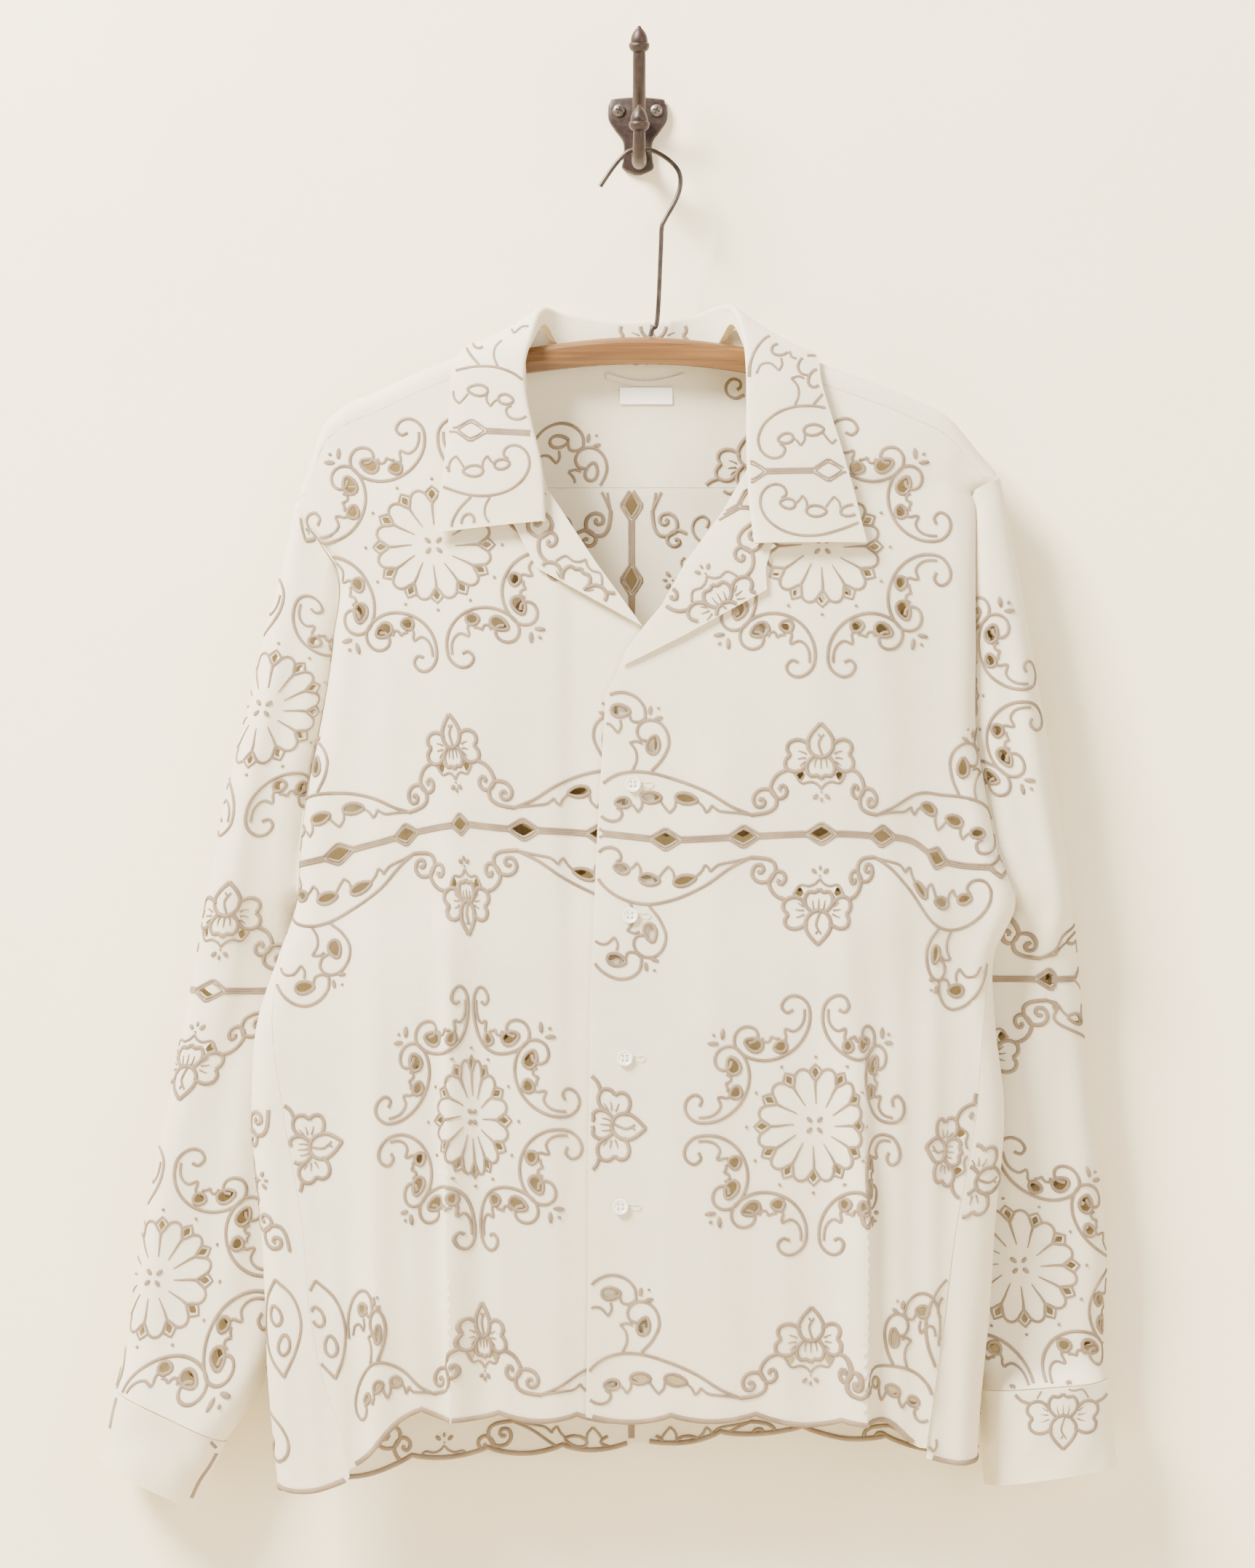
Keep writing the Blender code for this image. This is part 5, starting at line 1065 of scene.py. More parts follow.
def cordMesh(drawn, outline, surface, side):
    # Cords and seeds of a drawing, laid on the outer side of a surface
    lines = []
    if drawn.cords:
        every = np.concatenate([points for points, _, _ in drawn.cords])
        good = inside(every, outline)
        good[good] = distance(every[good], outline) > stitchSettings["cordMargin"]
        start = 0
        for points, width, taper in drawn.cords:
            ok = good[start:start + len(points)]
            start += len(points)
            ends = np.flatnonzero(np.diff(np.concatenate([[0], ok.astype(int), [0]])))
            for a, b in zip(ends[::2], ends[1::2]):
                if b - a > 2 or (b - a == 2 and len(points) == 2):
                    lines.append((points[a:b], width, taper))
    flat, lift, uv, faces, count = [], [], [], [], 0
    shape = ((-0.5, -0.20), (-0.36, 0.70), (0.0, 1.0), (0.36, 0.70), (0.5, -0.20))
    n = len(shape)
    for points, width, taper in lines:
        way = np.gradient(points, axis=0)
        way /= np.maximum(np.hypot(way[:, 0], way[:, 1]), 1e-12)[:, None]
        aside = np.stack([-way[:, 1], way[:, 0]], axis=-1)
        run = np.concatenate([[0.0], np.cumsum(np.hypot(*np.diff(points, axis=0).T))])
        wide = width * (1.0 - taper * run / max(run[-1], 1e-9))
        for across, up in shape:
            flat.append(points + aside * (across * wide)[:, None])
            lift.append(up * stitchSettings["lift"] * (0.55 + 0.45 * wide / stitchSettings["cord"]))
            uv.append(np.stack([run + 0.37 * width * 1000, 0 * run + across], axis=-1))
        length = len(points)
        base = count + np.arange(length - 1)
        for k in range(n):
            a, b = base + k * length, base + ((k + 1) % n) * length
            faces += [np.stack([a, a + 1, b + 1], axis=-1), np.stack([a, b + 1, b], axis=-1)]
        for at, order in ((0, 1), (length - 1, -1)):
            ring = np.array([count + k * length + at for k in range(n)])[::order]
            faces.append(np.array([(ring[0], ring[k], ring[k + 1]) for k in range(1, n - 1)]))
        count += n * length
    seeds = drawn.seeds
    if seeds:
        middles = np.array([ends.mean(axis=0) for ends, _ in seeds])
        fine = inside(middles, outline)
        fine[fine] = distance(middles[fine], outline) > stitchSettings["seedMargin"]
        seeds = [seed for seed, ok in zip(seeds, fine) if ok]
    a = np.arange(8) * math.pi / 4
    padding = stitchSettings["lift"] * stitchSettings["padding"]
    for ends, width in seeds:
        way = ends[1] - ends[0]
        long = max(float(np.hypot(*way)), 1e-6)
        way = way / long
        aside = np.array([-way[1], way[0]])
        middle = ends.mean(axis=0)
        for scale, up in ((1.0, -0.20), (0.80, 0.75)):
            lengthwise = np.outer(np.cos(a) * long / 2 * scale, way)
            flat.append(middle + lengthwise + np.outer(np.sin(a) * width / 2 * scale, aside))
            lift.append(np.full(8, up * padding))
            uv.append(np.stack([a * 0 + 0.0004 * np.arange(8), np.cos(a)], axis=-1))
        flat.append(middle[None])
        lift.append(np.array([1.15 * padding]))
        uv.append(np.array([[0.0, 0.0]]))
        ring = count + np.arange(8)
        following = count + (np.arange(8) + 1) % 8
        faces += [
            np.stack([ring, following, following + 8], axis=-1),
            np.stack([ring, following + 8, ring + 8], axis=-1),
            np.stack([ring + 8, following + 8, 0 * ring + count + 16], axis=-1),
            np.array([(count, count + k + 1, count + k) for k in range(1, 7)]),
        ]
        count += 17
    flat, lift, uv = np.concatenate(flat), np.concatenate(lift), np.concatenate(uv)
    faces = np.concatenate(faces)
    normal = surfaceNormals(surface, flat)
    outward = side * np.sign(normal[:, 1].mean())
    points = surface(flat) + normal * (outward * (clothSettings["wall"] / 2 + lift))[:, None]
    return points, faces, uv


def embroider(name, drawn, outline, surface, side):
    points, faces, uv = cordMesh(drawn, outline, surface, side)
    made = addMesh(name, points, faces, cordFinish, uv, 50.0)
    body = bmesh.new()
    body.from_mesh(made.data)
    bmesh.ops.recalc_face_normals(body, faces=body.faces)
    body.to_mesh(made.data)
    body.free()
    ride(made, "linen")
    return made


def sewSheet(name, outline, drawn, surface, side, step=None, extra=(), inner=None):
    # One cut piece of cloth with its embroidery, laid on the surface; inner is sewn on its other side
    outline = finer(ccw(outline))
    holes = clearHoles(drawn.holes, outline)
    flat, faces = cutFlat(outline, holes, step or clothSettings["grid"])
    laid = surface(flat)
    points, walls = thicken(laid, faces, clothSettings["wall"], surfaceNormals(surface, flat))
    piece = addMesh(name, points, walls, linenFinish, np.concatenate([flat, flat]))
    ride(piece, "linen", (name,))
    low, high = outline.min(axis=0), outline.max(axis=0)
    sewn = [embroider(name + "_embroidery", drawn, outline, surface, side)]
    if inner:
        sewn.append(embroider(name + "_inner_embroidery", inner, outline, surface, -side))
    sewn += extra
    float(high[0] - low[0])
    float(high[1] - low[1])
    flatArea(flat, faces)
    print(name, len(piece.data.polygons), "faces,", len(holes), "holes")


# The cut pieces of the body


def run(start, end, step):
    count = max(2, int(math.ceil(abs(end - start) / step)))
    return list(np.linspace(start, end, count, endpoint=False))


def scalloped(table, start, end):
    pitch, depth, steps = 0.052, 0.0048, 14
    count = max(1, round(abs(end - start) / pitch))
    points = []
    for k in range(count * steps):
        x = start + (end - start) * k / (count * steps)
        points.append((x, float(table.at("z", x)) - depth * abs(math.sin(math.pi * k / steps)) ** 0.8))
    return points


def seamLine(zFoot, sign, side):
    top = clothSettings["armholeTopZ"][sign]
    heights = [z for z in np.arange(top, zFoot, -0.004) if z > zFoot + 0.0015][::-1]
    return [(float(seamAcross(z, sign, side)), float(z)) for z in [zFoot] + heights]


def frontOutline(sign):
    roll = leftRoll if sign > 0 else rightRoll
    hemX = float(seamAcross(-0.86, sign, -1))
    if sign > 0:
        edge = [(float(placket.at("x", z)), z) for z in run(-0.3704, -0.8330, 0.02)]
        hem = scalloped(frontHem, float(placket.at("x", -0.8328)), hemX)
    else:
        edge = [(0.0105, z) for z in run(-0.3620, -0.8330, 0.05)]
        hem = scalloped(frontHem, 0.0105, hemX)
    side = seamLine(float(frontHem.at("z", hemX)), sign, -1)
    seam = []
    below = clothSettings["yokeDrop"] + clothSettings["seam"]
    for x in run(clothSettings["shoulderEnd"][sign], 0.0735, 0.006):
        seam.append((sign * x, float(ridge.at("z", sign * x)) - below))
    return np.array(list(roll) + edge + hem + side + seam), np.array(hem)


def hemCord(hem, inset=0.0014, width=0.0032):
    drawn = Drawing()
    drawn.cord(hem[1:-1] + (0.0, inset), width)
    return drawn


def backOutline():
    top = clothSettings["yokeBackZ"] - clothSettings["seam"]
    outline, hems = [], []
    for sign in (1, -1):
        footZ = -0.8620 if sign > 0 else -0.8740
        half = [(sign * x, top) for x in run(0.0, 0.2150 if sign > 0 else 0.2120, 0.006)]
        half += seamLine(footZ, sign, 1)[::-1]
        hem = scalloped(backHem, half[-1][0], 0.0)
        half += hem[1:]
        hems.append(np.array(hem))
        outline += half if sign > 0 else half[::-1]
    return np.array(outline), hems


# Neck edge of the yoke: across, height above the shoulder line, then down its sides on the cloth
neckAboveRidge = ((0.0, 0.1580), (0.025, 0.1565), (0.044, 0.1500))
neckSide = ((0.0580, 0.0130), (0.0640, 0.0), (0.0700, -0.0110))


def yokeOutline():
    frontT = -float(alongOf(clothSettings["yokeDrop"]))
    outline = []
    for sign in (1, -1):
        end = clothSettings["shoulderEnd"][sign]
        tip = 0.2335 if sign > 0 else 0.2210
        half = [(sign * x, float(ridge.at("z", x)) + up) for x, up in neckAboveRidge]
        half += [(sign * x, t) for x, t in neckSide]
        half += [(sign * x, frontT) for x in run(0.0735, end, 0.006)]
        half += [(sign * end, frontT), (sign * tip, -0.0060), (sign * (tip + 0.0006), 0.0)]
        for x in run(0.2150 if sign > 0 else 0.2120, 0.0, 0.006):
            drop = float(ridge.at("z", sign * x)) - clothSettings["yokeBackZ"]
            half.append((sign * x, float(alongOf(drop))))
        outline += half if sign > 0 else half[::-1][:-1]
    return np.array(outline)


def lapelSurface(roll):
    line = np.array(roll)

    def lay(points):
        placed = torso(points[:, 0], points[:, 1], -1)
        away = distance(points, line, closed=False)
        placed[:, 1] -= 0.0016 + 0.0016 * (1.0 - np.exp(-away / 0.012))
        return placed

    return lay


def sleeveOutline(table):
    top, foot = float(table.rows[-1, 0]), float(table.rows[0, 0])
    outline = [(float(sleeveReach(table, w)), w) for w in run(foot, top, 0.006)]
    reach = float(sleeveReach(table, top))
    outline += [(x, top) for x in run(reach, -reach, 0.004)]
    outline += [(-float(sleeveReach(table, w)), w) for w in run(top, foot, 0.006)]
    reach = float(sleeveReach(table, foot))
    outline += [(x, foot) for x in run(-reach, reach, 0.004)]
    return np.array(outline)


# How far the pattern is shifted along each sleeve, and where its lotus column lies across
sleevePattern = {
    -1: {"shift": -0.1038, "column": Table(
        "w across", (-0.83, 0.040), (-0.738, 0.0373), (-0.601, 0.0265), (-0.5635, 0.0210), (-0.515, 0.0162),
        (-0.38, 0.0144), (-0.26, 0.008))},
    1: {"shift": -0.0963, "column": Table(
        "w across", (-0.83, -0.002), (-0.7482, -0.0088), (-0.65, -0.030), (-0.556, -0.0434),
        (-0.42, -0.060), (-0.26, -0.060))},
}


def sleeveDrawing(sign):
    pattern = sleevePattern[sign]

    def warp(points):
        w = points[:, 1] + pattern["shift"]
        x = pattern["column"].at("across", w) + points[:, 0] * sign
        if sign > 0:
            # A tuck in this sleeve hides some of the pattern
            tuck = 0.0115 * np.tanh((x - 0.020) / 0.008)
            x = x - tuck * ease((-0.50 - w) / 0.05) * ease((w + 0.66) / 0.08)
        return np.stack([x, w], axis=-1)

    return drawColumn().warped(warp)


# The upright lozenge chain down the middle of the back, and the half bands beside it
chain = {"middle": -0.0042, "top": -0.2460, "pitch": 0.0490, "lozenges": 13, "lotus": -0.2950,
         "reach": 0.036}
backColumns = {"places": (-0.1270, 0.1190), "reach": 0.110}


def roundSide(points):
    # From where a point shows in front to where it lies on the back piece, which comes round the side
    x, z = points[:, 0], points[:, 1]
    reach = np.where(x < 0, body.at("right", z), body.at("left", z))
    radius = body.at("radius", z)
    straight = reach - radius
    turned = math.pi - np.arcsin(np.clip((np.abs(x) - straight) / radius, 0.0, 1.0))
    far = straight + radius * turned + np.maximum(straight - np.abs(x), 0.0)
    return np.stack([np.sign(x) * far, z], axis=-1)


def backDrawing():
    drawn = Drawing()
    bandZ, hemZ = stitchSettings["bandHeight"], stitchSettings["hemHeight"]
    column = drawColumn()
    border = Drawing()
    border.stamp(drawBand([stitchSettings["pitch"] * k for k in range(-2, 3)]), at=(0.0, hemZ))
    border.stamp(drawHalfBand(), at=(0.0, hemZ), flipZ=-1)
    column.stamp(border.uncut())
    column = column.kept(lambda points: np.abs(points[:, 0]) < backColumns["reach"])
    for x in backColumns["places"]:
        drawn.stamp(column, at=(x, 0.0))
    upright = drawBand([chain["pitch"] * k for k in range(chain["lozenges"])])
    drawn.stamp(upright, at=(chain["middle"], chain["top"]), turn=-90.0)
    for turn in (-90.0, 90.0):
        beside = Drawing()
        beside.stamp(drawHalfBand().uncut(), at=(chain["middle"], chain["lotus"]), turn=turn)
        beside = beside.kept(lambda points: np.abs(points[:, 0] - chain["middle"]) < chain["reach"])
        drawn.stamp(beside.kept(lambda points: points[:, 1] > bandZ + 0.06))
    # What shows of it beside the fronts, where it comes round the sides
    drawn.stamp(drawLotus().uncut(), at=(-0.2905, -0.6840), turn=-90.0)
    drawn.stamp(drawLotus().uncut(), at=(0.3150, -0.6840), turn=90.0)
    for sign in (-1, 1):
        shown = Drawing()
        shown.stamp(sideLeaf(sign))
        shown.stamp(drawWave().uncut(), at=(sign * 0.3380, -0.8740), flipX=-sign)
        upper = Drawing()
        upper.stamp(drawWave().uncut(), at=(sign * 0.3440, -0.8290), flipX=-sign)
        shown.stamp(upper.kept(lambda points: np.abs(points[:, 0]) > 0.2130))
        drawn.stamp(shown.kept(lambda points: np.abs(points[:, 0]) < 0.2240).warped(roundSide))
    return drawn


def onYoke(half):
    # From where a point shows to where it lies on the yoke, in front (-1) or behind (1)
    radius = clothSettings["ridgeRadius"]

    def warp(points):
        drop = np.clip(ridge.at("z", points[:, 0]) - points[:, 1], 0.0, None)
        over = radius * np.arccos(1.0 - np.clip(drop / radius, 0.0, 1.0))
        return np.stack([points[:, 0], half * (over + np.maximum(drop - radius, 0.0))], axis=-1)

    return warp


def yokeDrawings():
    front, inner = Drawing(), Drawing()
    front.cord(curve(millimetres(
        (-140.6, -160.6), (-138.6, -158.9), (-134.5, -157.9), (-130.6, -156.6), (-127.6, -155.2),
        (-128.6, -158.0), (-133.0, -160.6), (-138.0, -162.4),
    )), 0.0020)
    front.cord(curve(millimetres(
        (113.0, -158.6), (116.0, -155.6), (119.5, -156.6), (121.5, -160.0), (119.0, -163.5), (123.0, -166.0),
        (126.4, -162.6), (127.0, -159.6), (130.4, -160.4), (134.4, -162.2),
    )), 0.0019)
    front.cord(curve(millimetres(
        (133.0, -161.8), (137.4, -163.4), (142.0, -164.8), (146.0, -166.2),
    )), 0.0019)
    inner.stamp(drawSpray().uncut(), at=(0.0771, -0.2844), flipX=-1)
    inner.stamp(drawLotus().uncut(), at=(0.0740, -0.2700))
    inner.cord(curve(polar((0.0640, -0.1690), (
        (-40, 7.4), (-90, 7.2), (-140, 6.9), (170, 6.3), (110, 5.6), (50, 4.6), (0, 3.2), (-60, 2.0),
    ))), 0.0019)
    return front.warped(onYoke(-1)), inner.warped(onYoke(1))


def lapelDrawing(place, turn):
    drawn = Drawing()
    drawn.stamp(drawBand([-0.050, 0.0, 0.050]).uncut(), at=place, turn=turn)
    drawn.stamp(drawHalfBand().uncut(), at=place, turn=turn)
    return drawn


everywhere = np.array([(-1, -2), (1, -2), (1, 1), (-1, 1)])
fronts = ((1, "left_front", frontSurface), (-1, "right_front", underFrontSurface))
for frontSign, frontName, frontFace in fronts:
    frontLine, frontHemLine = frontOutline(frontSign)
    sewSheet(frontName, frontLine, frontDrawing(frontSign), frontFace, -1,
             extra=[embroider(frontName + "_hem_cord", hemCord(frontHemLine), everywhere, frontFace, -1)])
backLine, backHemLines = backOutline()
backDrawn = backDrawing()


def showsInside(points):
    # Inside the neck, and under the front hem
    return ((points[:, 1] > -0.37) & (np.abs(points[:, 0]) < 0.085)) | (points[:, 1] < -0.826)


backCords = []
for name, line in zip(("left", "right"), backHemLines):
    for place, way in (("outer", 1), ("inner", -1)):
        cordName = f"shirt_back_{place}_hem_cord_{name}"
        backCords.append(embroider(cordName, hemCord(line), everywhere, backSurface, way))
sewSheet("shirt_back", backLine, backDrawn, backSurface, 1, step=0.0048,
         extra=backCords, inner=backDrawn.kept(showsInside))
yokeOuter, yokeInner = yokeDrawings()
sewSheet("yoke", yokeOutline(), yokeOuter, yokeSurface, 1, inner=yokeInner)

lapelInset = 0.0006
leftLapelLine = [(0.0735, -0.2050)] + [(x + lapelInset, z + lapelInset) for x, z in leftRoll[2:8]]
leftLapelLine += list(leftLapelEdge[::-1]) + [(0.0820, -0.2900), (0.0900, -0.2620), (0.0920, -0.2200)]
rightLapelLine = [(-0.0660, -0.2100)] + [(x - lapelInset, z + lapelInset) for x, z in rightRoll[3:6]]
rightLapelLine += list(rightLapelEdge) + [(-0.0800, -0.2620), (-0.0850, -0.2200)]
for lapelName, lapelLine, lapelRoll, lapelDrawn in (
    ("left_lapel", leftLapelLine, leftRoll, lapelDrawing((0.0297, -0.2704), 210.0)),
    ("right_lapel", rightLapelLine, rightRoll, lapelDrawing((-0.0207, -0.2589), 153.0)),
):
    sewSheet(lapelName, np.array(lapelLine), lapelDrawn, lapelSurface(lapelRoll), -1, step=0.0030)

for sleeveSign, sleeveSide, sleeveTable in ((-1, "right", rightSleeve), (1, "left", leftSleeve)):
    for sleeveHalf, sleevePart in ((-1, "front"), (1, "back")):
        sewSheet(f"{sleeveSide}_sleeve_{sleevePart}", sleeveOutline(sleeveTable), sleeveDrawing(sleeveSign),
                 sleeveSurface(sleeveTable, sleeveSign, sleeveHalf), sleeveHalf)


# Collar and cuffs

leftCollar = (
    (0.0040, -0.0212, -0.1573, 0.0040, -0.0180, -0.1262, 0.0040, -0.0080, -0.1780),
    (0.0270, -0.0213, -0.1545, 0.0301, -0.0182, -0.1250, 0.0330, -0.0080, -0.1770),
    (0.0500, -0.0225, -0.1440, 0.0490, -0.0198, -0.1180, 0.0740, -0.0090, -0.1680),
    (0.0610, -0.0300, -0.1290, 0.0610, -0.0310, -0.1185, 0.1040, -0.0155, -0.1530),
    (0.0690, -0.0420, -0.1440, 0.0680, -0.0450, -0.1380, 0.1160, -0.0330, -0.1485),
    (0.0745, 0.0, -0.1600, 0.0703, 0.0, -0.1590, 0.1185, 0.0, -0.1690),
    (0.0745, 0.0, -0.1905, 0.0705, 0.0, -0.1900, 0.1260, 0.0, -0.1950),
    (0.0745, 0.0, -0.2200, 0.0705, 0.0, -0.2209, 0.1321, 0.0, -0.2150),
    (0.0758, 0.0, -0.2460, 0.0719, 0.0, -0.2468, 0.1400, 0.0, -0.2440),
    (0.0790, 0.0, -0.2730, 0.0752, 0.0, -0.2745, 0.1471, 0.0, -0.2735),
)
rightCollar = (
    (-0.0190, -0.0213, -0.1550, -0.0170, -0.0182, -0.1262, -0.0200, -0.0080, -0.1770),
    (-0.0500, -0.0225, -0.1440, -0.0480, -0.0198, -0.1215, -0.0740, -0.0090, -0.1680),
    (-0.0610, -0.0300, -0.1290, -0.0620, -0.0310, -0.1195, -0.0980, -0.0140, -0.1455),
    (-0.0700, -0.0420, -0.1440, -0.0690, -0.0450, -0.1390, -0.1090, -0.0330, -0.1425),
    (-0.0770, 0.0, -0.1590, -0.0735, 0.0, -0.1579, -0.1198, 0.0, -0.1590),
    (-0.0760, 0.0, -0.1820, -0.0719, 0.0, -0.1819, -0.1215, 0.0, -0.1850),
    (-0.0680, 0.0, -0.2205, -0.0630, 0.0, -0.2209, -0.1250, 0.0, -0.2230),
    (-0.0655, 0.0, -0.2410, -0.0609, 0.0, -0.2400, -0.1285, 0.0, -0.2460),
    (-0.0640, 0.0, -0.2590, -0.0600, 0.0, -0.2600, -0.1311, 0.0, -0.2674),
)
collarSettings = {
    "leafLift": 0.0075,
    "standLift": (0.0022, 0.0050),
    "lapelTopZ": -0.2000,
    "roll": 0.0018,
    "bow": 0.0015,
    "wall": 0.0014,
    "between": 7,
}


def moreRows(rows, times):
    rows = np.asarray(rows, float)
    where = np.arange(len(rows), dtype=float)
    fine = np.linspace(0, len(rows) - 1, (len(rows) - 1) * times + 1)
    made = [Table("t v", *zip(where, column)).at("v", fine) for column in rows.reshape(len(rows), -1).T]
    return np.array(made).T.reshape((len(fine),) + rows.shape[1:])


def collarSheet():
    rows = [list(row) for row in rightCollar[::-1]] + [list(row) for row in leftCollar]
    for row in rows:
        stand = collarSettings["standLift"][int(row[2] < collarSettings["lapelTopZ"])]
        for first, lift in ((0, stand), (3, collarSettings["leafLift"]), (6, collarSettings["leafLift"])):
            if row[first + 1] == 0.0:
                row[first + 1] = float(torso(row[first], row[first + 2], -1)[1]) - lift
    stations = moreRows(np.array(rows).reshape(-1, 3, 3), collarSettings["between"])
    along = np.gradient(stations[:, 1], axis=0)
    sheetRows = []
    for (neck, roll, edge), way in zip(stations, along):
        out = (edge - roll) / np.linalg.norm(edge - roll)
        inward = -np.cross(way, out)
        inward /= np.linalg.norm(inward)
        turn = collarSettings["roll"]
        back = roll + out * turn + inward * turn
        line = [neck + (back - neck) * f for f in (0.0, 0.25, 0.5, 0.75)]
        for a in np.linspace(0.0, math.pi, 7):
            line.append(roll + out * turn * (1.0 - math.sin(a)) + inward * turn * math.cos(a))
        front = line[-1]
        for f in np.linspace(0.0, 1.0, 17)[1:]:
            line.append(front + (edge - front) * f - inward * collarSettings["bow"] * math.sin(math.pi * f))
        sheetRows.append(line)
    return np.array(sheetRows)


def gridFaces(rows, columns, closed=False):
    faces = []
    for i in range(rows - 1):
        for j in range(columns if closed else columns - 1):
            a, b = i * columns + j, i * columns + (j + 1) % columns
            faces += [(a, a + columns, b + columns), (a, b + columns, b)]
    return np.array(faces)


def gridSizes(points):
    across = np.linalg.norm(np.diff(points, axis=1), axis=2).sum(axis=1).mean()
    along = np.linalg.norm(np.diff(points, axis=0), axis=2).sum(axis=0).mean()
    return float(across), float(along)


def gridUv(points):
    across = np.cumsum(np.linalg.norm(np.diff(points, axis=1), axis=2), axis=1)
    u = np.concatenate([np.zeros((len(points), 1)), across], axis=1)
    middle = points[:, points.shape[1] // 2]
    v = np.concatenate([[0.0], np.cumsum(np.linalg.norm(np.diff(middle, axis=0), axis=1))])
    return np.stack([u, np.repeat(v[:, None], points.shape[1], axis=1)], axis=-1).reshape(-1, 2)


def areaOf(points, faces):
    corner = points[faces]
    doubled = np.cross(corner[:, 1] - corner[:, 0], corner[:, 2] - corner[:, 0])
    return float(np.linalg.norm(doubled, axis=1).sum() / 2)


def sewGrid(name, grid, wall, closed=False):
    points = grid.reshape(-1, 3)
    faces = gridFaces(grid.shape[0], grid.shape[1], closed)
    every, walls = thicken(points, faces, wall, gridNormals(points, faces))
    uv = gridUv(grid)
    piece = addMesh(name, every, walls, linenFinish, np.concatenate([uv, uv]))
    ride(piece, "linen", (name,))
    width, length = gridSizes(np.concatenate([grid, grid[:, :1]], axis=1) if closed else grid)
    area = areaOf(points, faces)
    print(name, len(piece.data.polygons), "faces")


collarGrid = collarSheet()


def seenSurface(grid, closed=False):
    # The face of a sheet that shows from the front, by (across, height)
    faces = gridFaces(grid.shape[0], grid.shape[1], closed)
    tree = BVHTree.FromPolygons(grid.reshape(-1, 3).tolist(), faces.tolist())

    def lay(points):
        placed = []
        for x, z in points:
            hit = tree.ray_cast(Vector((x, -0.3, z)), Vector((0.0, 1.0, 0.0)))[0]
            if hit is None:
                hit = tree.find_nearest(Vector((x, -0.06, z)))[0]
            placed.append((x, hit.y, z))
        return np.array(placed)

    return lay


leafSettings = (
    # name, first row, last row, where the lotus column lies, the band's height, mirror, lozenge, turn
    ("right", 0, 42, -0.2140, -0.2011, 1, -0.1077, -3.0),
    ("left", 84, 126, 0.2230, -0.2269, -1, 0.1225, 1.5),
)
collarFace = seenSurface(collarGrid)
for leafName, firstRow, lastRow, columnX, bandZ, mirror, lozengeX, turn in leafSettings:
    leaf = collarGrid[firstRow:lastRow + 1]
    rim = [leaf[:, 8], leaf[-1, 9:-1], leaf[::-1, -1], leaf[0, 9:-1][::-1]]
    leafLine = np.concatenate(rim)[:, (0, 2)]
    drawn = Drawing()
    wave = Drawing()
    wave.stamp(drawWave())
    wave.stamp(drawSpray())
    for up in (1, -1):
        turned = Drawing()
        turned.stamp(wave.uncut(), at=(columnX - lozengeX, 0.0), flipX=mirror, flipZ=up)
        drawn.stamp(turned, at=(lozengeX, bandZ), turn=turn)
    drawn.stamp(drawBand([-0.050, 0.0, 0.050]).uncut(), at=(lozengeX, bandZ), turn=turn)
    embroider(f"collar_{leafName}_embroidery", drawn, leafLine, collarFace, -1)
standDrawn = Drawing()
standDrawn.stamp(drawLotus().uncut(), at=(0.0100, -0.1868))
standLine = np.array([(-0.030, -0.1560), (0.050, -0.1560), (0.050, -0.1268), (-0.030, -0.1268)])
embroider("collar_stand_embroidery", standDrawn, standLine, collarFace, -1)
sewGrid("collar", collarGrid, collarSettings["wall"])


cuffSettings = (
    {"name": "right_cuff", "side": -1, "top": ((0.3408, -0.8235), (0.2690, -0.8575)),
     "foot": ((0.3483, -0.8690), (0.2890, -0.9000)), "radius": 0.0235, "y": -0.0290},
    {"name": "left_cuff", "side": 1, "top": ((0.3050, -0.8172), (0.2228, -0.8232)),
     "foot": ((0.3116, -0.8720), (0.2266, -0.8850)), "radius": 0.0245, "y": -0.0300},
)


cuffWall = 0.0018


def cuffGrid(cuff, around=96, rows=16):
    grid = []
    for i in range(rows):
        t = i / (rows - 1)
        outer = np.array(cuff["top"][0]) * (1 - t) + np.array(cuff["foot"][0]) * t
        inner = np.array(cuff["top"][1]) * (1 - t) + np.array(cuff["foot"][1]) * t
        middle, half = (outer + inner) / 2, (outer - inner) / 2
        ring = []
        for k in range(around):
            a = 2 * math.pi * k / around
            wide = math.copysign(abs(math.cos(a)) ** 0.85, math.cos(a))
            deep = math.copysign(abs(math.sin(a)) ** 0.85, math.sin(a))
            place = middle + half * wide
            soft = 0.0009 * math.sin(3 * a + 5 * t + cuff["side"]) + 0.0005 * math.sin(7 * a - 9 * t)
            ring.append((cuff["side"] * place[0], cuff["y"] - (cuff["radius"] + soft) * deep, place[1]))
        grid.append(ring)
    return np.array(grid)


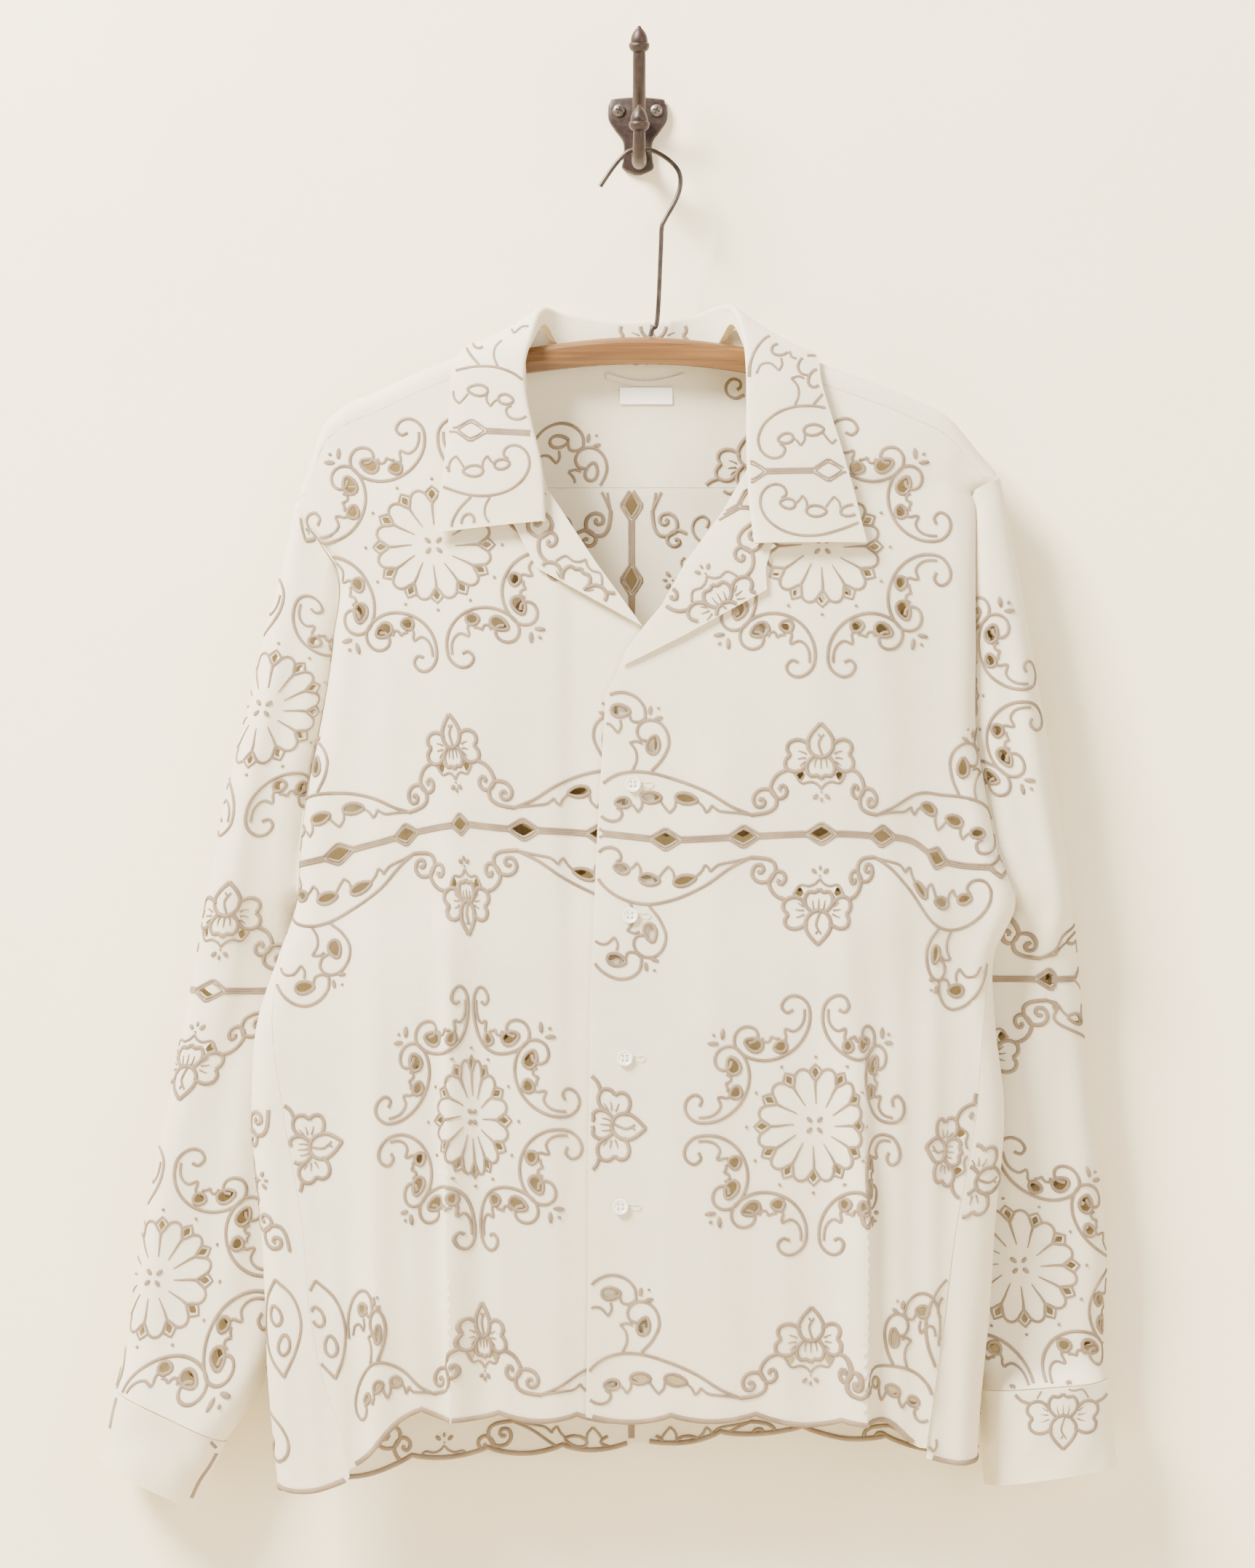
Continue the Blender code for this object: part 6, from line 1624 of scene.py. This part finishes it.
for cuff in cuffSettings:
    grid = cuffGrid(cuff)
    if cuff["side"] > 0:
        grid = grid[:, ::-1]
    drawn = Drawing()
    if cuff["side"] > 0:
        drawn.stamp(drawLotus().uncut(), at=(0.2745, -0.7880), flipZ=-1)
        drawn.stamp(drawWave().uncut(), at=(0.2745, -0.7880), flipX=-1, flipZ=-1)
    else:
        for line in (((-0.2950, -0.8271), (-0.2905, -0.8352), (-0.2830, -0.8475), (-0.2745, -0.8600)),
                     ((-0.2745, -0.8640), (-0.2790, -0.8720), (-0.2850, -0.8810), (-0.2905, -0.8925)),
                     ((-0.3375, -0.8262), (-0.3405, -0.8380), (-0.3425, -0.8480))):
            drawn.cord(curve(line), 0.0024)
    ends = np.concatenate([grid[0], grid[-1]])
    face = ends[ends[:, 1] < cuff["y"]][:, (0, 2)]
    middle = face.mean(axis=0)
    face = face[np.argsort(np.arctan2(face[:, 1] - middle[1], face[:, 0] - middle[0]))]
    made = embroider(f"{cuff['name']}_embroidery", drawn, face, seenSurface(grid, True), -1)
    sewGrid(cuff["name"], grid, cuffWall, True)

# Loop and label inside the back of the neck

tapeSettings = (
    # name, finish, slot, left end, right end, top, sag, height, how far off the cloth
    ("hanging_loop", linenFinish, "linen", -0.0207, 0.0301, -0.1600, 0.0050, 0.0032, 0.0016),
    ("neck_label", tapeFinish, "label_tape", -0.0118, 0.0226, -0.1692, 0.0, 0.0108, 0.0012),
)
for tapeName, tapeLook, tapeSlot, x0, x1, top, sag, height, lift in tapeSettings:
    grid = []
    for x in np.linspace(x0, x1, 33):
        droop = sag * math.sin(math.pi * (x - x0) / (x1 - x0))
        row = []
        for f in np.linspace(0.0, 1.0, 5):
            z = top - droop - height * (1.0 - f)
            row.append((x, float(torso(x, z, 1)[1]) - lift, z))
        grid.append(row)
    grid = np.array(grid)
    points, faces = grid.reshape(-1, 3), gridFaces(33, 5)
    uv = gridUv(grid)
    every, walls = thicken(points, faces, 0.0009, gridNormals(points, faces))
    piece = addMesh(tapeName, every, walls, tapeLook, np.concatenate([uv, uv]))
    ride(piece, tapeSlot, (tapeName,))
    if tapeName == "neck_label":
        width, length = gridSizes(grid)

# Buttons

buttonSettings = {"radius": 0.0051, "thick": 0.0020, "rim": 0.0011, "dish": 0.0005, "hole": 0.00068,
                  "apart": 0.00135, "thread": 0.0007}
buttonholeSettings = {"besides": 0.0085, "below": 0.0005, "cord": 0.0009}
buttonPlaces = ((-0.0033, -0.4291), (-0.0052, -0.5132), (-0.0085, -0.6044), (-0.0113, -0.6994))


def chooseOnly(piece):
    bpy.ops.object.select_all(action="DESELECT")
    piece.select_set(True)
    bpy.context.view_layer.objects.active = piece


def settle(piece, name, finish, smooth=35.0):
    # Modifiers applied, and the place put into the mesh
    chooseOnly(piece)
    for modifier in list(piece.modifiers):
        bpy.ops.object.modifier_apply(modifier=modifier.name)
    bpy.ops.object.transform_apply(location=True, rotation=True, scale=True)
    bpy.ops.object.shade_smooth_by_angle(angle=math.radians(smooth))
    piece.name = name
    piece.data.materials.clear()
    piece.data.materials.append(finish)
    return piece


def addButton(number, x, z):
    size = buttonSettings
    thirds = [(way, up) for way in (-1, 0, 1) for up in (-1, 0, 1)]
    rim = np.array([(x + size["radius"] * way, z + size["radius"] * up) for way, up in thirds])
    cloth = float(frontSurface(rim)[:, 1].min()) - clothSettings["cadWall"] / 2
    y = cloth - size["thick"] / 2 - clothSettings["seam"]
    bpy.ops.object.select_all(action="DESELECT")
    bpy.ops.mesh.primitive_cylinder_add(vertices=48, radius=size["radius"], depth=size["thick"],
                                        location=(x, y, z), rotation=(math.pi / 2, 0.0, 0.0))
    button = bpy.context.object
    bpy.ops.object.mode_set(mode="EDIT")
    bpy.ops.mesh.select_all(action="DESELECT")
    body = bmesh.from_edit_mesh(button.data)
    body.faces.ensure_lookup_table()
    for face in body.faces:
        face.select_set(face.normal.z > 0.9)
    bmesh.update_edit_mesh(button.data)
    bpy.ops.mesh.inset(thickness=size["rim"])
    bpy.ops.mesh.inset(thickness=size["rim"] * 0.5, depth=-size["dish"])
    bpy.ops.object.mode_set(mode="OBJECT")
    soft = button.modifiers.new("edge", "BEVEL")
    soft.width, soft.segments, soft.limit_method = 0.0003, 2, "ANGLE"
    cutters = []
    for way in (-1, 1):
        for up in (-1, 1):
            bpy.ops.object.select_all(action="DESELECT")
            place = (x + way * size["apart"], y, z + up * size["apart"])
            bpy.ops.mesh.primitive_cylinder_add(vertices=16, radius=size["hole"], depth=3 * size["thick"],
                                                location=place, rotation=(math.pi / 2, 0.0, 0.0))
            cutter = bpy.context.object
            cut = button.modifiers.new("hole", "BOOLEAN")
            cut.object, cut.operation = cutter, "DIFFERENCE"
            cutters.append(cutter)
    settle(button, f"button_{number}", pearlFinish)
    for cutter in cutters:
        bpy.data.objects.remove(cutter)
    ride(button, "button", (f"button_{number}",))
    thread = Drawing()
    for way in (-1, 1):
        stitch = [(x + way * size["apart"], z + up * size["apart"]) for up in (-1, 0, 1)]
        thread.cord(np.array(stitch), size["thread"])
    sewn, faces, uv = cordMesh(thread, everywhere, frontSurface, -1)
    sewn[:, 1] += y - size["thick"] / 2 + size["dish"] - float(sewn[:, 1].min()) - 0.0004
    made = addMesh(f"button_{number}_thread", sewn, faces, linenFinish, uv)
    ride(made, "linen")
    stops = []
    for a in range(0, 361, 20):
        end = abs(a) < 20 or abs(a - 180) < 20
        stops.append((a, 5.0 if end else 1.2 + 3.4 * abs(math.cos(math.radians(a))) ** 2.2))
    hole = buttonholeSettings
    slot = Drawing()
    slot.cord(polar((x + hole["besides"], z - hole["below"]), stops), hole["cord"])
    stitched, faces, uv = cordMesh(slot, everywhere, frontSurface, -1)
    made = addMesh(f"buttonhole_{number}", stitched, faces, linenFinish, uv)
    ride(made, "linen")


for number, (x, z) in enumerate(buttonPlaces, 1):
    addButton(number, x, z)
print("buttons done")

# Hanger, wire and coat hook. Wire: across, height. Prongs: depth, height, radius. Acorn: height, radius

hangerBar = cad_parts["hanger_bar"]
hangerBar.data.materials.clear()
hangerBar.data.materials.append(woodFinish)

wirePath = (
    (-0.0247, -0.0392), (-0.0155, -0.0258), (-0.0068, -0.0167), (0.0005, -0.0152),
    (0.0089, -0.0155), (0.0193, -0.0212), (0.0263, -0.0289), (0.0277, -0.0376),
    (0.0249, -0.0475), (0.0177, -0.0606), (0.0155, -0.0663), (0.0149, -0.0808),
    (0.0127, -0.1253), (0.0095, -0.1320), (0.0080, -0.1370),
)
upperProng = (
    (-0.0030, 0.0040, 0.0058), (-0.0120, 0.0085, 0.0050), (-0.0260, 0.0160, 0.0044),
    (-0.0380, 0.0270, 0.0042), (-0.0450, 0.0390, 0.0042), (-0.0475, 0.0500, 0.0040),
)
lowerProng = (
    (-0.0030, -0.0145, 0.0056), (-0.0140, -0.0205, 0.0049), (-0.0290, -0.0216, 0.0045),
    (-0.0400, -0.0170, 0.0042), (-0.0455, -0.0090, 0.0040), (-0.0465, -0.0010, 0.0038),
)
acorn = (
    (-0.0048, 0.0030), (-0.0042, 0.0048), (-0.0030, 0.0060), (-0.0012, 0.0067), (0.0004, 0.0067),
    (0.0013, 0.0062), (0.0017, 0.0054), (0.0022, 0.0056), (0.0042, 0.0054), (0.0062, 0.0048),
    (0.0082, 0.0038), (0.0098, 0.0025), (0.0108, 0.0015), (0.0118, 0.0011), (0.0122, 0.0004),
)
plateHalf = Table(
    "z half",
    (-0.0272, 0.0020), (-0.0245, 0.0085), (-0.0180, 0.0098), (-0.0110, 0.0092),
    (-0.0050, 0.0100), (0.0020, 0.0150), (0.0085, 0.0190), (0.0150, 0.0196),
    (0.0205, 0.0178), (0.0232, 0.0130), (0.0238, 0.0060), (0.0240, 0.0020),
)
hookSettings = {"wireRadius": 0.0015, "plateThick": 0.0045, "prongX": 0.0008, "screwRadius": 0.0042,
                "screws": ((-0.0124, 0.0147), (0.0122, 0.0147))}


def addTube(name, centres, radii, resolution=8):
    data = bpy.data.curves.new(name, "CURVE")
    data.dimensions = "3D"
    data.bevel_depth = 1.0
    data.bevel_resolution = resolution
    data.use_fill_caps = True
    line = data.splines.new("POLY")
    line.points.add(len(centres) - 1)
    for point, centre, radius in zip(line.points, centres, radii):
        point.co = (*centre, 1.0)
        point.radius = radius
    made = bpy.data.objects.new(name, data)
    bpy.context.scene.collection.objects.link(made)
    chooseOnly(made)
    bpy.ops.object.convert(target="MESH")
    return bpy.context.object


wireRows = moreRows([(x, clothSettings["hangerY"], z) for x, z in wirePath], 8)
wireTube = addTube("wire", wireRows, [hookSettings["wireRadius"]] * len(wireRows))
wire = settle(wireTube, "hanger_wire", wireFinish, 60.0)
ride(wire, "hook_wire", ("hanger_wire",))

heights = np.concatenate([
    np.linspace(-0.0272, -0.0240, 6), np.linspace(-0.0230, 0.0225, 40), np.linspace(0.0230, 0.0240, 6),
])
half = [(float(plateHalf.at("half", z)), float(z)) for z in heights]
outline = half + [(-x, z) for x, z in half[::-1]]
count = len(outline)
thick = hookSettings["plateThick"]
# Size and depth of the plate's outline, from the wall to its face
plateLevels = ((1.0, 0.0), (1.0, -thick * 0.45), (0.965, -thick * 0.85), (0.90, -thick))
platePoints = [(x * s, y, z * s) for s, y in plateLevels for x, z in outline]
plateFaces = [tuple(range(count))[::-1], tuple(range(3 * count, 4 * count))]
for level in range(3):
    for k in range(count):
        a, b = level * count + k, level * count + (k + 1) % count
        plateFaces.append((a, b, b + count, a + count))
hookParts = [addMesh("plate", platePoints, plateFaces, ironFinish)]
for prong in (upperProng, lowerProng):
    rows = moreRows(prong, 6)
    centres = [(hookSettings["prongX"], y, z) for y, z, _ in rows]
    hookParts.append(addTube("prong", centres, rows[:, 2], 10))
    base, way = np.array(centres[-1]), np.array(centres[-1]) - np.array(centres[-2])
    way /= np.linalg.norm(way)
    tip = [base + way * height for height, _ in acorn]
    hookParts.append(addTube("acorn", tip, [radius for _, radius in acorn], 12))
hook = hookParts[0]
chooseOnly(hook)
for part in hookParts[1:]:
    part.select_set(True)
bpy.ops.object.join()
bpy.ops.object.mode_set(mode="EDIT")
bpy.ops.mesh.select_all(action="SELECT")
bpy.ops.mesh.normals_make_consistent(inside=False)
bpy.ops.object.mode_set(mode="OBJECT")
settle(hook, "wall_hook", ironFinish, 40.0)
ride(hook, "iron", ("wall_hook",))

for number, (x, z) in enumerate(hookSettings["screws"], 1):
    radius = hookSettings["screwRadius"]
    bpy.ops.object.select_all(action="DESELECT")
    seat = -thick - clothSettings["seam"]
    bpy.ops.mesh.primitive_uv_sphere_add(segments=32, ring_count=16, radius=radius, location=(x, seat, z),
                                         scale=(1.0, 0.42, 1.0))
    screw = bpy.context.object
    cutters = []
    for turn in (0.35, 0.35 + math.pi / 2):
        bpy.ops.object.select_all(action="DESELECT")
        bpy.ops.mesh.primitive_cube_add(size=1.0, location=(x, seat - 0.0015, z), rotation=(0.0, turn, 0.0),
                                        scale=(radius * 1.15, 0.0016, radius * 0.22))
        cutter = bpy.context.object
        cut = screw.modifiers.new("slot", "BOOLEAN")
        cut.object, cut.operation = cutter, "DIFFERENCE"
        cutters.append(cutter)
    bpy.ops.object.select_all(action="DESELECT")
    bpy.ops.mesh.primitive_cube_add(size=0.02, location=(x, 0.01 + seat, z))
    cutter = bpy.context.object
    cut = screw.modifiers.new("flat", "BOOLEAN")
    cut.object, cut.operation = cutter, "DIFFERENCE"
    cutters.append(cutter)
    settle(screw, f"screw_{number}", screwFinish)
    for cutter in cutters:
        bpy.data.objects.remove(cutter)
    ride(screw, "screw_steel", (f"screw_{number}",))
print("hardware done")

# Wall, floor and light


def addPlane(name, points, finish):
    made = addMesh(name, points, [(0, 1, 2, 3)], finish)


wallFinish = wallMaterial()
side, front, back, foot, top = 4.0, -4.0, 0.0012, -2.2, 2.5
addPlane("wall", ((-side, back, foot), (side, back, foot), (side, back, top), (-side, back, top)),
         wallFinish)
addPlane("floor", ((-side, front, foot), (side, front, foot), (side, back, foot), (-side, back, foot)),
         wallFinish)

lightSettings = (
    # name, place, aim, size, power, colour
    ("keyLight", (-2.1, -1.7, 2.2), (0.0, 0.0, -0.45), 1.3, 860.0, (1.0, 0.95, 0.86)),
    ("fillLight", (2.4, -2.6, -0.2), (0.0, 0.0, -0.45), 2.4, 115.0, (1.0, 0.95, 0.86)),
)
for name, place, aim, size, power, colour in lightSettings:
    data = bpy.data.lights.new(name, "AREA")
    data.size, data.energy, data.color = size, power, colour
    lamp = bpy.data.objects.new(name, data)
    bpy.context.scene.collection.objects.link(lamp)
    lamp.location = place
    lamp.rotation_euler = (Vector(aim) - Vector(place)).to_track_quat("-Z", "Y").to_euler()
world = bpy.data.worlds.new("room")
world.use_nodes = True
world.node_tree.nodes["Background"].inputs["Color"].default_value = (1.0, 0.90, 0.74, 1.0)
world.node_tree.nodes["Background"].inputs["Strength"].default_value = 0.75
bpy.context.scene.world = world
